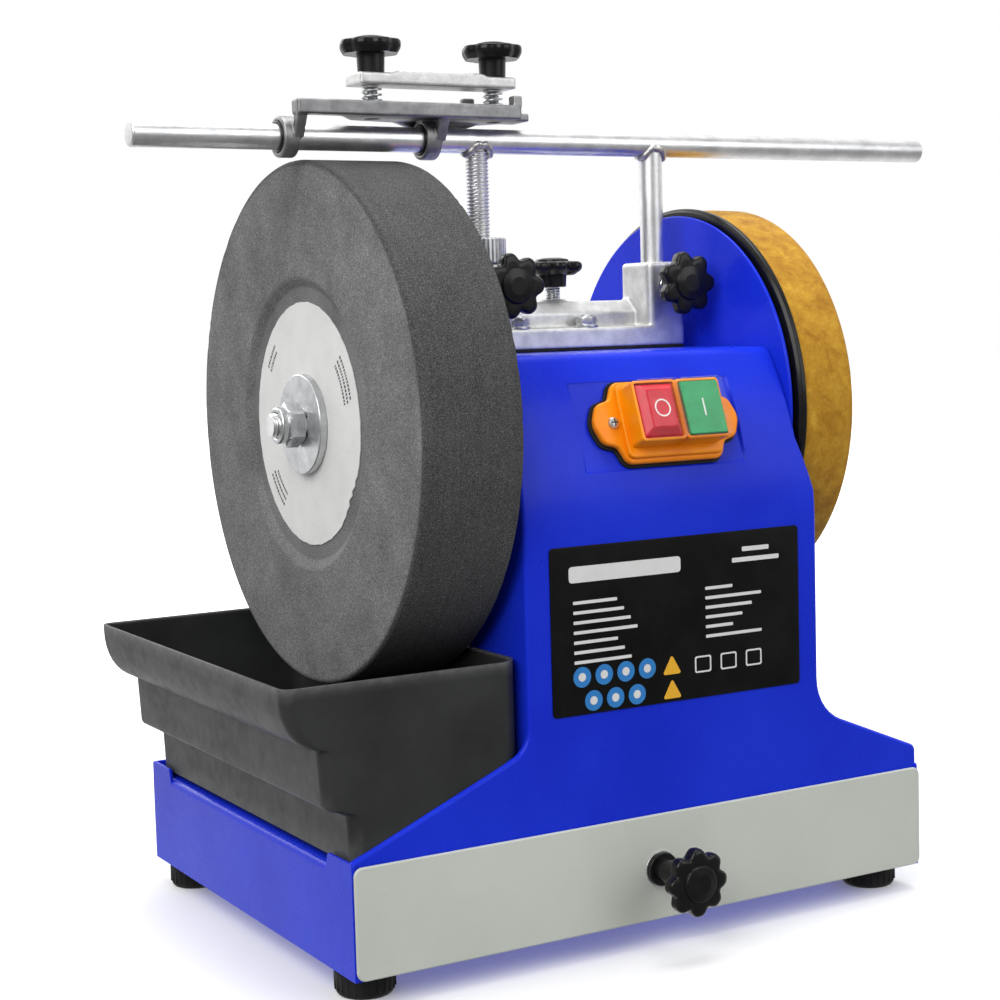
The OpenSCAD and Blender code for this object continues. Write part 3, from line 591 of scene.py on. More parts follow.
def casting(name, solid, cuts, voxel_mm, rounds):
    """Fuses a shape's solids into one casting with soft inner and outer corners."""
    obj = solid.build(name)
    if cuts is not None:
        cutter = cuts.build(name + "_cutter")
        modify(obj, "BOOLEAN", operation="DIFFERENCE", solver="EXACT", use_self=True, object=cutter)
        apply_modifiers(obj)
        bpy.data.objects.remove(cutter)
    modify(obj, "REMESH", mode="VOXEL", voxel_size=voxel_mm * MM)
    modify(obj, "SMOOTH", factor=0.5, iterations=rounds)
    modify(obj, "DECIMATE", ratio=0.45)
    apply_modifiers(obj)
    obj.data.shade_smooth()
    return obj


# ---------------------------------------------------------------- driving sizes from the frame
shaft = centre_mm("main_shaft")
AXIS = (0, shaft.y, shaft.z)
base_lo, base_hi = box_mm("base_frame")
shell_lo, shell_hi = box_mm("housing_shell")
left_lo, left_hi = box_mm("left_side_plate")
guard_lo, guard_hi = box_mm("drive_guard")
stone_hi = box_mm("grinding_stone")[1]
band_lo, band_hi = box_mm("leather_band")
drum_lo, drum_hi = box_mm("strop_drum")
bar_lo, bar_hi = box_mm("support_bar")
bar = centre_mm("support_bar")
leg_left = centre_mm("threaded_leg")
leg_right = centre_mm("smooth_leg")
trough_lo, trough_hi = box_mm("water_trough")
DECK = shell_lo.z
FRONT = shell_lo.y
BACK = left_hi.y
TOP = shell_hi.z
SHEET = 1.5


# ---------------------------------------------------------------- housing
# as in the CAD: height where the sheet leans back, the radius of its lean, the radius of the top's fold
LEAN_Z, LEAN_R, FOLD = 195.0, 150.0, 8.0
fold_a = math.asin((TOP - FOLD - LEAN_Z) / (LEAN_R - FOLD))
RISE = LEAN_Z - DECK                            # length of the upright part
LEAN_LEN = LEAN_R * fold_a
FOLD_LEN = FOLD * (math.pi / 2 - fold_a)
fold_centre = Vector((FRONT + LEAN_R - (LEAN_R - FOLD) * math.cos(fold_a), TOP - FOLD))
TOP_LEN = BACK - fold_centre.x
FULL_LEN = RISE + LEAN_LEN + FOLD_LEN + TOP_LEN


def on_sheet(x, s, depth=0.0):
    """A point of the sheet at length s up its profile and depth below its outer face."""
    if s <= RISE:
        point, normal = Vector((FRONT, DECK + s)), Vector((-1, 0))
    elif s <= RISE + LEAN_LEN:
        a = (s - RISE) / LEAN_R
        normal = Vector((-math.cos(a), math.sin(a)))
        point = Vector((FRONT + LEAN_R, LEAN_Z)) + LEAN_R * normal
    elif s <= RISE + LEAN_LEN + FOLD_LEN:
        a = fold_a + (s - RISE - LEAN_LEN) / FOLD
        normal = Vector((-math.cos(a), math.sin(a)))
        point = fold_centre + FOLD * normal
    else:
        normal = Vector((0, 1))
        point = Vector((fold_centre.x + (s - RISE - LEAN_LEN - FOLD_LEN), TOP))
    point = point - normal * depth
    return Vector((x, point.x, point.y))


def up_sheet(z):
    """Length up the profile at height z on the front."""
    return z - DECK if z <= LEAN_Z else RISE + LEAN_R * math.asin((z - LEAN_Z) / LEAN_R)


plate = centre_mm("switch_plate")
SWITCH_Z = 247.0
SWITCH_TILT = math.asin((SWITCH_Z - LEAN_Z) / LEAN_R)
SWITCH_AT = on_sheet(plate.x, up_sheet(SWITCH_Z))
SWITCH = Matrix.Translation(SWITCH_AT) @ Matrix.Rotation(-SWITCH_TILT, 4, "X")
# the switch's flat seat: its ends from the switch's middle, its height and depth, and the opening in it
POCKET_X0, POCKET_X1, POCKET_H, POCKET_D = -48.5, 43.0, 44.0, 2.0
OPENING_X, OPENING_Z = 28.0, 17.5


def housing_outline():
    """The sheet laid flat, as (x, length up the profile), with flared sides and a narrow top."""
    flare = math.tan(math.radians(22.5))
    foot_left, foot_right = base_hi.z - DECK, 14.0
    wide, narrow = 224.0, guard_lo.x - 0.1
    narrow_from, narrow_to = up_sheet(210), up_sheet(236)
    left = left_lo.x - 0.15
    outline = [(base_lo.x, 0), (base_hi.x, 0), (base_hi.x, foot_right),
               (wide, foot_right + (base_hi.x - wide) * flare), (wide, narrow_from), (narrow, narrow_to),
               (narrow, FULL_LEN), (left, FULL_LEN), (left, foot_left + (left - base_lo.x) * flare),
               (base_lo.x, foot_left)]
    return anticlockwise(soften(outline, [2.2, 2.2, 4, 24, 8, 8, 3, 3, 14, 4], 7))


def housing():
    """The flat sheet is cut into rows, given the switch's seat, then bent to its profile and thickened."""
    outline = housing_outline()
    bend, bend_steps, lip_depth = 1.8, 5, 2.6
    bm = bmesh.new()
    rims = [(0.0, lip_depth)]
    rims += [(bend * (1 - math.sin(t)), bend * (1 - math.cos(t)))
             for t in (math.pi / 2 * (1 - k / bend_steps) for k in range(bend_steps + 1))]
    rows = [[bm.verts.new((p.x, p.y, depth)) for p in inset(outline, amount)] for amount, depth in rims]
    skin(bm, rows)
    bm.faces.new(rows[-1])

    def cut(co, no):
        everything = bm.verts[:] + bm.edges[:] + bm.faces[:]
        bmesh.ops.bisect_plane(bm, geom=everything, plane_co=co, plane_no=no, dist=1e-5)

    lean_rows, fold_rows = 26, 7
    for k in range(lean_rows + 1):
        cut((0, RISE + LEAN_LEN * k / lean_rows, 0), (0, 1, 0))
    for k in range(1, fold_rows + 1):
        cut((0, RISE + LEAN_LEN + FOLD_LEN * k / fold_rows, 0), (0, 1, 0))
    mid = up_sheet(SWITCH_Z)
    half = LEAN_R * math.asin(POCKET_H / 2 / LEAN_R)
    sides = (plate.x + POCKET_X0, plate.x + POCKET_X1)
    for x in sides:
        cut((x, 0, 0), (1, 0, 0))
    for length in (mid - half, mid + half):
        cut((0, length, 0), (0, 1, 0))

    def in_seat(p, slack=0.01):
        return sides[0] - slack < p.x < sides[1] + slack and abs(p.y - mid) < half + slack and p.z < 0.01

    inside = [f for f in bm.faces if in_seat(f.calc_center_median(), 0)]
    bmesh.ops.delete(bm, geom=inside, context="FACES")
    rim = [e for e in bm.edges if e.is_boundary and all(in_seat(v.co) for v in e.verts)]

    def next_loop(edges):
        made = bmesh.ops.extrude_edge_only(bm, edges=edges)["geom"]
        return [v for v in made if isinstance(v, bmesh.types.BMVert)]

    seat = next_loop(rim)
    for v in bm.verts:
        v.co = on_sheet(*v.co)
    to_local = SWITCH.inverted()
    for v in seat:
        local = to_local @ v.co
        v.co = SWITCH @ Vector((local.x * 0.98, POCKET_D, local.z * 0.96))
    for v in next_loop([e for e in bm.edges if all(v in seat for v in e.verts)]):
        local = to_local @ v.co
        local.x = min(OPENING_X, max(-OPENING_X, local.x))
        local.z = min(OPENING_Z, max(-OPENING_Z, local.z))
        v.co = SWITCH @ local
    bmesh.ops.remove_doubles(bm, verts=bm.verts[:], dist=0.001)
    bmesh.ops.recalc_face_normals(bm, faces=bm.faces)
    plain_spot = on_sheet(140, 60)
    probe = min(bm.faces, key=lambda f: (f.calc_center_median() - plain_spot).length)
    if probe.normal.y > 0:
        bmesh.ops.reverse_faces(bm, faces=bm.faces[:])
    for f in bm.faces:
        f.smooth = True
    shape = Shape()
    shape.bm.free()
    shape.bm = bm
    obj = shape.build("housing", 30)
    modify(obj, "SOLIDIFY", thickness=SHEET * MM, offset=-1, use_even_offset=True)
    apply_modifiers(obj)
    obj.data.set_sharp_from_angle(angle=math.radians(30))
    settle(obj, "base", "blue_paint", ["housing_shell"])


def guard():
    """The round guard beside the strop wheel, standing on its upright panel."""
    r = guard_hi.z - shaft.z
    start = math.asin((220 - shaft.z) / r)
    steps = 72
    arc = [polar(r, start + (math.pi - 2 * start) * k / steps, 0, shaft.z) for k in range(steps + 1)]
    front = FRONT + SHEET + 0.3
    outline = [(BACK, 200)] + arc + [(front, 196), (front, DECK), (BACK, DECK)]
    motor = centre_mm("motor_case")
    shape = Shape()
    shape.prism(outline, "X", guard_lo.x, guard_hi.x, 0.7,
                holes=[circle(12, 40, 0, shaft.z), circle(13, 40, motor.y, motor.z)])
    settle(shape.build("guard_disc"), "base", "blue_paint", ["drive_guard"])


def base():
    """The folded base: deck and side walls in one sheet, a back wall and raised corner tabs."""
    wall, fold, tab, tab_len, slant = 2.0, 4.0, base_hi.z - DECK, 28.0, 3.0

    def sheet_edge(inwards):
        left, right, top = base_lo.x + inwards, base_hi.x - inwards, DECK - inwards
        bends = [0, fold - inwards, fold - inwards, 0]
        corners = [(left, base_lo.z), (left, top), (right, top), (right, base_lo.z)]
        return soften(corners, bends, 6, closed=False)

    shape = Shape()
    shape.prism([*sheet_edge(0), *reversed(sheet_edge(wall))], "Y", base_lo.y, base_hi.y, 0.3)
    shape.block((base_lo.x + wall, base_hi.y - wall, base_lo.z),
                (base_hi.x - wall, base_hi.y - 0.1, DECK - wall + 0.5), 0.4)

    def corner_tab(axis, start, end, low, face, other_face, slants):
        outline = [(start, low), (end, low), (end - slants[1], DECK + tab), (start + slants[0], DECK + tab)]
        shape.prism(soften(outline, [0, 0, 1.2, 1.2], 3), axis, face, other_face, 0.5)

    for x0 in (base_lo.x, base_hi.x - wall):
        for y0, slants in ((base_lo.y, (0, slant)), (base_hi.y - tab_len, (slant, 0))):
            corner_tab("X", y0, y0 + tab_len, DECK - fold - 1, x0 + 0.06, x0 + wall - 0.06, slants)
    for x0, slants in ((base_lo.x, (0, slant)), (base_hi.x - tab_len, (slant, 0))):
        corner_tab("Y", x0, x0 + tab_len, DECK - fold - 1, base_hi.y - wall, base_hi.y - 0.16, slants)
    settle(shape.build("base_cover"), "base", "blue_paint", ["base_frame"])
    feet = Shape()
    profile = [(3, 3), (8, 3), (9.5, 0), (12, 0), (13.2, 1.4), (14, 10.5), (12.5, base_lo.z), (3, base_lo.z)]
    profile = soften(profile, [0, 0.5, 0.6, 0.8, 0.8, 1.2, 0.3, 0], 3)
    for x in (base_lo.x + 15, base_hi.x - 15):
        for y in (base_lo.y + 22, base_hi.y - 20):
            feet.lathe(profile, "Z", (x, y, 0), 40)
            for a in around(24):
                rib = polar(13.4, a, x, y)
                feet.block((rib.x - 0.5, rib.y - 0.5, 2.5), (rib.x + 0.5, rib.y + 0.5, 9.5), 0.2)
    settle(feet.build("feet"), "base", "rubber", ["rubber_feet"])


def gland():
    """The cable gland at the back: a bored stem, two hex flanges and a toothed cap."""
    at, (lo, hi) = centre_mm("cable_gland"), box_mm("cable_gland")
    bore = 3.8
    holes = [circle(bore, 32, at.x, at.z)]
    shape = Shape()
    shape.rod("Y", at, 7.9, lo.y + 1, base_hi.y + 2, 0.2, bore=bore)
    for radius, start, end in ((11, base_hi.y, base_hi.y + 3), (10.8, lo.y, lo.y + 5)):
        shape.prism(soften(circle(radius, 6, at.x, at.z), 0.8, 3), "Y", start, end, 0.5, holes=holes)
    teeth = [polar(9.0 - 0.5 * (k % 2), a, at.x, at.z) for k, a in enumerate(around(40))]
    shape.prism(teeth, "Y", base_hi.y + 3, hi.y, 0.9, holes=holes)
    settle(shape.build("lead_gland"), "base", "black_plastic", ["cable_gland"])


# ---------------------------------------------------------------- wheels
def stone():
    """The grinding stone: a shallow recess in each face, softened rims and small chips along them."""
    r, w = stone_hi.z - shaft.z, stone_hi.x
    bore, recess_r, recess = 6.1, 65.5, 3.0
    face = [(bore, recess), (recess_r, recess), (69.2, 0.4), (70.5, 0.0), (r, 0.0)]
    profile = face + [(p, w - h) for p, h in reversed(face)]
    radii = [0, 2.0, 2.5, 1.5, 1.8, 1.8, 1.5, 2.5, 2.0, 0]
    chip_long, chip_wide, chip_count = 2.5, 2.2, 60
    chips = [(random.uniform(0, TURN), random.choice((0, w)), random.uniform(0.3, 0.9))
             for _ in range(chip_count)]

    def wear(a, radius, h):
        if radius < r - 3:
            return 0.0
        dip = 0.05 * math.sin(3 * a + h) + 0.04 * math.sin(17 * a)
        for angle, edge, size in chips:
            along, over = gap(a, angle) * r / chip_long, abs(h - edge) / chip_wide
            if along < 1 and over < 1:
                dip -= size * (1 - along) * (1 - over)
        return min(dip, 0.0)

    shape = Shape()
    shape.lathe(soften(profile, radii, 4), "X", AXIS, 288, wobble=wear)
    settle(shape.build("stone", 50), "wheels", "grindstone", ["grinding_stone"])


def blotters():
    """Paper discs inside the stone's recesses, the outer one with rows of plain dashes and a torn edge."""
    shape = Shape()
    radius, thick, recess, torn_at = 58.3, 0.5, 2.95, 3.75

    def ragged(a, r, torn):
        edge = 0.12 * math.sin(31 * a) + 0.1 * math.sin(57 * a + 1)
        if torn:
            edge -= 3.2 * max(0, 1 - gap(a, torn_at) / 0.3) * (0.7 + 0.3 * math.sin(60 * a))
        return edge if r > 20 else 0.0

    for low, torn in ((recess - thick, True), (stone_hi.x - recess, False)):
        profile = [(8, low), (radius, low), (radius, low + thick), (8, low + thick)]
        profile = soften(profile, [0, 0.2, 0.2, 0], 2)
        shape.lathe(profile, "X", AXIS, 180, wobble=lambda a, r, h: ragged(a, r, torn))
    for start, rows, dashes in ((2.45, 3, 13), (5.35, 3, 11), (0.55, 2, 8)):
        for row in range(rows):
            inner, outer = (51.0 - 3.4 * row + side * 0.75 for side in (-1, 1))
            a = start
            for _ in range(dashes):
                b = a + random.uniform(0.014, 0.032)
                dash = ((inner, a), (outer, a), (outer, b), (inner, b))
                shape.prism([polar(r, t, 0, shaft.z) for r, t in dash], "X", 2.38, 2.5, 0, 1)
                a = b + 0.012
    settle(shape.build("stone_labels"), "wheels", "paper", ["paper_blotters"], [PRINT_DARK])


def hex_nut(shape, axis, at, radius, low, high, bore, collar=None):
    """A hex nut with chamfered corners; collar adds the round locking end, as (radius, end)."""
    flat = radius * math.cos(math.pi / 6)
    chamfer = 0.9
    middle = across(axis, at)

    def loop(reach, h):
        points = [polar(reach(a), a, *middle) for a in around(48)]
        return [lift(axis, p.x, p.y, h) for p in points]

    def hexagon(a):
        return flat / math.cos((a + math.pi / 6) % (math.pi / 3) - math.pi / 6)

    def tip(a):
        return min(hexagon(a), flat * 0.97)

    loops = [loop(tip, low), loop(hexagon, low + chamfer), loop(hexagon, high - chamfer), loop(tip, high)]
    loops += [loop(lambda a: bore, h) for h in (high, low)]
    shape.rings(loops, closed=True)
    if collar:
        r, end = collar
        a, b = (end, low + 0.5) if end < low else (high - 0.5, end)
        crown = soften([(bore, a), (r, a), (r, b), (bore, b)], 1.6, 4)
        shape.lathe(crown, axis, foot(axis, at), 48)


def shaft_and_nuts():
    """The shaft with a thread at each end, its lock nuts and flange washers."""
    lo, hi = box_mm("main_shaft")
    r = shaft.z - lo.z
    steel = Shape()
    steel.screw("X", shaft, r, lo.x, 0, 1.75, 0.9)
    steel.rod("X", shaft, r, -0.6, hi.x - 18, 0.3)
    steel.screw("X", shaft, r, hi.x - 18.5, hi.x, 1.75, 0.9)
    settle(steel.build("wheel_shaft"), "wheels", "bar_steel", ["main_shaft"])
    nuts = Shape()
    n_lo, n_hi = box_mm("lock_nuts")
    hex_nut(nuts, "X", shaft, 10.9, n_lo.x + 4, n_lo.x + 12.4, r + 0.06, (8.8, n_lo.x))
    hex_nut(nuts, "X", shaft, 10.9, n_hi.x - 12.4, n_hi.x - 4, r + 0.06, (8.8, n_hi.x))
    settle(nuts.build("nuts"), "wheels", "zinc", ["lock_nuts"])
    washers = Shape()
    w_lo, w_hi = box_mm("clamp_washers")
    bore = r + 0.06
    inner_left = (stone_hi.x - 2.4, left_lo.x - 2, 24)
    for a, b, radius in ((w_lo.x, w_lo.x + 4, 24), inner_left, (w_hi.x - 3, w_hi.x, 18)):
        washers.rod("X", shaft, radius, a, b, 0.7, 96, bore=bore)
    settle(washers.build("washers"), "wheels", "zinc", ["clamp_washers"])


def strop_wheel():
    """The ribbed black drum and the leather band glued round it, with a slanting seam."""
    rim = drum_hi.z - shaft.z
    seat = band_hi.z - shaft.z - 3.5
    x0, x1 = drum_lo.x, drum_hi.x
    web0, web1 = x0 + 23, x0 + 27
    well, hub, hub_end = 91, 17, x0 + 31.5
    bore = 6.1
    profile = [(rim - 1.6, x0), (rim, x0 + 1.6), (rim, band_lo.x - 0.02), (seat - 0.02, band_lo.x - 0.02),
               (seat - 0.02, x1), (well, x1), (well, web1), (hub, web1), (hub, hub_end), (bore, hub_end),
               (bore, x0 + 1), (hub, x0 + 1), (hub, web0), (well, web0), (well, x0)]
    radii = [1, 1, 0.4, 0.3, 1.2, 1.2, 2.5, 2.5, 1, 0.4, 0.4, 1, 2.5, 2.5, 1]
    shape = Shape()
    shape.lathe(soften(profile, radii, 3), "X", AXIS, 160)
    for k in range(6):
        turn = Matrix.Translation(Vector(AXIS)) @ Matrix.Rotation(math.radians(60 * k + 30), 4, "X")
        rib = Shape(turn)
        rib.block((web1 - 1, 15, -2.5), (web1 + 2.6, 92, 2.5), 0.6)
        mesh = bpy.data.meshes.new("rib")
        rib.bm.to_mesh(mesh)
        rib.bm.free()
        shape.bm.from_mesh(mesh)
        bpy.data.meshes.remove(mesh)
    settle(shape.build("strop_drum_body"), "wheels", "black_plastic", ["strop_drum"])
    band = Shape()
    outer = band_hi.z - shaft.z
    wide = band_hi.x - band_lo.x
    crown = [(outer - 0.35 + 0.35 * math.sin(math.pi * k / 10), band_lo.x + 0.6 + (wide - 1.2) * k / 10)
             for k in range(11)]
    side = outer - 1.0
    profile = [(seat, band_lo.x), (side, band_lo.x), *crown, (side, band_hi.x), (seat, band_hi.x)]

    def seam(a, r, h):
        if r < outer - 2:
            return 0.0
        turn = gap(a, 1.2 + 0.25 * (h - band_lo.x) / wide) * outer
        return 0.05 * math.sin(9 * a) * math.sin(0.4 * h) - (0.45 * (1 - turn / 1.4) if turn < 1.4 else 0.0)

    band.lathe(profile, "X", AXIS, 512, wobble=seam)
    settle(band.build("strop_leather", 60), "wheels", "leather", ["leather_band"])


# ---------------------------------------------------------------- knobs
def star(radius, lobes, deep, count=168):
    """Round lobes with narrower hollows between them."""
    return [polar(radius - deep * (0.5 - 0.5 * math.cos(lobes * a)) ** 1.6, a) for a in around(count)]


def star_knob(name, body, node, origin, axis, stud, hub, head, lobes, deep=3.4, pitch=1.25, crown=1.0,
              waist=()):
    """A lobed knob pointing along axis; stud is (radius, length), hub and head are (radius, height)."""
    turn = Vector((0, 0, 1)).rotation_difference(Vector(axis)).to_matrix().to_4x4()
    shape = Shape(Matrix.Translation(Vector(origin)) @ turn)
    hub_r, hub_h = hub
    head_r, head_h = head
    profile = soften([(0, 0), (hub_r, 0), (hub_r + 0.4, hub_h + 0.5), (0, hub_h + 0.5)], [0, 0.6, 0, 0], 3)
    shape.lathe(profile, "Z", (0, 0, 0), 48)
    levels = [(0.72, 0.0), (0.80, 0.7), (0.93, 2.0), (0.985, 3.0), (1.0, 4.0), (1.0, head_h - 2.2),
              (0.985, head_h - 1.2), (0.94, head_h - 0.5), (0.86, head_h - 0.1), (0.7, head_h)]
    levels = [(1 - crown * (1 - size), h) for size, h in levels]
    outline = star(head_r, lobes, deep)
    shape.rings([[(p.x * size, p.y * size, hub_h + h) for p in outline] for size, h in levels])
    cap_r, top = head_r * 0.56, hub_h + head_h
    cap = [(0, top - 0.5), (cap_r, top - 0.5), (cap_r - 0.6, top + 1.2), (cap_r / 2, top + 2), (0, top + 2)]
    shape.lathe(soften(cap, [0, 0, 0.8, 3, 0], 4), "Z", (0, 0, 0), 64)
    for radius, low, high in waist:
        shape.rod("Z", (0, 0, 0), radius, low, high, 0.5)
    radius, length = stud
    shape.screw("Z", (0, 0, 0), radius, -length, 1, pitch, 0.385 * pitch, 1)
    settle(shape.build(name), body, "black_plastic", [node], [MATERIALS["zinc"]])


def knobs():
    lock_z = centre_mm("left_pad").z
    pad_front = box_mm("left_pad")[0].y
    for side, x in (("left", leg_left.x), ("right", leg_right.x)):
        node = side + "_lock_knob"
        hub_y = box_mm(node)[0].y + 18
        star_knob(side + "_lock", side + "_knob", node, (x, hub_y, lock_z), (0, -1, 0),
                  stud=(4, pad_front - hub_y), hub=(7, 7), head=(16, 9), lobes=7)
    rear = centre_mm("rear_pad")
    lo, hi = box_mm("rear_lock_knob")
    hub_z = hi.z - 15
    star_knob("rear_lock", "rear_knob", "rear_lock_knob", (rear.x, rear.y, hub_z), (0, 0, 1),
              stud=(4, hub_z - lo.z), hub=(7, 6), head=(16, 7), lobes=7)
    for side in ("left", "right"):
        node = side + "_clamp_knob"
        at, (lo, hi) = centre_mm(node), box_mm(node)
        hub_z = hi.z - 17.5
        star_knob("jig_knob_" + side, "jig_" + side + "_knob", node, (at.x, bar.y, hub_z), (0, 0, 1),
                  stud=(3, hub_z - lo.z), hub=(6.4, 9), head=(15, 6.5), lobes=8, deep=1.1, pitch=1.0,
                  crown=0.4)
    at, (lo, hi) = centre_mm("drawer_knob"), box_mm("drawer_knob")
    hub_y = lo.y + 15
    panel = hub_y - box_mm("drawer_front")[0].y
    star_knob("drawer_pull", "drawer", "drawer_knob", (at.x, hub_y, at.z), (0, -1, 0),
              stud=(3, hi.y - hub_y), hub=(6.5, 4), head=(16, 9), lobes=8, deep=2.8, pitch=1.0,
              waist=((5.5, panel, 0.5), (8, panel, panel + 3)))


# ---------------------------------------------------------------- support bar, legs and bracket
def weld(shape, x, leg_r, bar_r):
    """A rippled bead where a leg meets the bar."""
    def bead(t):
        return 1.55 + 0.4 * abs(math.sin(11 * math.pi * t)) + 0.2 * math.sin(7 * t)

    path = []
    r = leg_r + 0.5
    for a in around(96):
        dy = r * math.sin(a)
        rise = math.sqrt(max(0.0, (bar_r + 0.3) ** 2 - min(dy * dy, bar_r * bar_r)))
        path.append(Vector((x + r * math.cos(a), bar.y + dy, bar.z - rise + 0.4 * math.sin(5 * a))))
    shape.wire(path, bead, 12, 1, closed=True)


def support():
    """The tool bar with its two welded legs and the knurled height nut on the threaded one."""
    r = (bar_hi.z - bar_lo.z) / 2
    screw_r, plain_r = 5.9, 6.0
    shape = Shape()
    shape.rod("X", bar, r, bar_lo.x, bar_hi.x, 1.0, 56)
    weld(shape, leg_left.x, screw_r, r)
    weld(shape, leg_right.x, plain_r, r)
    settle(shape.build("tool_bar"), "support", "bar_steel", ["support_bar"], [WELD])
    low = box_mm("threaded_leg")[0].z
    leg = Shape()
    leg.screw("Z", leg_left, screw_r, low, bar.z - 4, 1.75, 0.85, count=32, rows=7)
    settle(leg.build("screw_leg", 50), "support", "bar_steel", ["threaded_leg"])
    leg = Shape()
    leg.rod("Z", leg_right, plain_r, low, bar.z - 2, 0.8, 48)
    settle(leg.build("plain_leg"), "support", "bar_steel", ["smooth_leg"])
    nut_lo, nut_hi = box_mm("adjust_nut")
    nut_r, knurl, flutes = 13.2, 0.5, 36
    outline = [polar(nut_r - knurl * max(0, math.cos(flutes * a)), a, leg_left.x, leg_left.y)
               for a in around(144)]
    nut = Shape()
    nut.prism(outline, "Z", nut_lo.z, nut_hi.z, 0.8, holes=[circle(6.05, 40, leg_left.x, leg_left.y)])
    settle(nut.build("height_nut_ring"), "height_nut", "zinc", ["adjust_nut"])


def bracket():
    """The cast bracket: a ledge, a ridge behind it and bored towers for the legs and the standing knob."""
    lo, hi = box_mm("support_bracket")
    ledge, ridge, back = 292.0, 305.5, hi.y
    tower_w, tower_back = 22.0, 1.0
    solid = Shape()
    solid.block((lo.x, lo.y, lo.z), (hi.x, back, ledge), 0.8, corner=2)
    profile = [(-13, ledge - 1), (-13, ridge - 6), (-7, ridge), (14, ridge), (17, ridge - 4), (17, ledge - 1)]
    solid.prism(soften(profile, [0, 1, 1.5, 1.5, 1, 0], 3), "X", lo.x + 0.5, hi.x - 0.5, 0.3)
    for x in (leg_left.x, leg_right.x):
        solid.block((x - tower_w / 2, lo.y, lo.z), (x + tower_w / 2, tower_back, hi.z), 1.8, corner=3)
    mid = centre_mm("rear_pad")
    solid.block((mid.x - 10.5, 0, lo.z), (mid.x + 10.5, back, ridge - 1), 1.2, corner=2)
    solid.rod("Z", mid, 6.5, ridge - 1, ridge + 1.3, 0.4)
    leg_bore, knob_bore, rear_bore, past = 6.4, 4.6, 4.5, 5
    cuts = Shape()
    for x in (leg_left.x, leg_right.x):
        cuts.rod("Z", (x, bar.y, 0), leg_bore, lo.z - past, hi.z + past, 0.1)
        cuts.rod("Y", (x, 0, centre_mm("left_pad").z), knob_bore, lo.y - past, bar.y, 0.1)
    cuts.rod("Y", (mid.x, 0, ledge), 6.3, -6, back + past, 0.1)
    cuts.rod("Z", mid, rear_bore, ledge, ridge + past, 0.1)
    obj = casting("cast_bracket", solid, cuts, 0.7, 5)
    settle(obj, "base", "cast_aluminium", ["support_bracket"], weighted=False)
    gasket = Shape()
    gasket.block((lo.x, lo.y - 0.5, TOP), (hi.x - 0.5, back, lo.z), 0.3, corner=2)
    settle(gasket.build("bracket_seal"), "base", "rubber", ["bracket_gasket"])
    bolts = Shape()
    shank = 2.95
    for x, y in ((110.4, -19.5), (150.5, -19.5), (116, 24), (172, 24)):
        at = (x, y, 0)
        bolts.rod("Z", at, 6, ledge, ledge + 1.4, 0.3)
        hex_nut(bolts, "Z", at, 5.6, ledge + 1.4, ledge + 5.6, 2.9)
        bolts.rod("Z", at, shank, TOP - 9, ledge + 6.4, 0.5)
        hex_nut(bolts, "Z", at, 5.5, TOP - 6.7, TOP - SHEET, 2.9)
    settle(bolts.build("bracket_fixings"), "base", "zinc", ["bracket_bolts"])


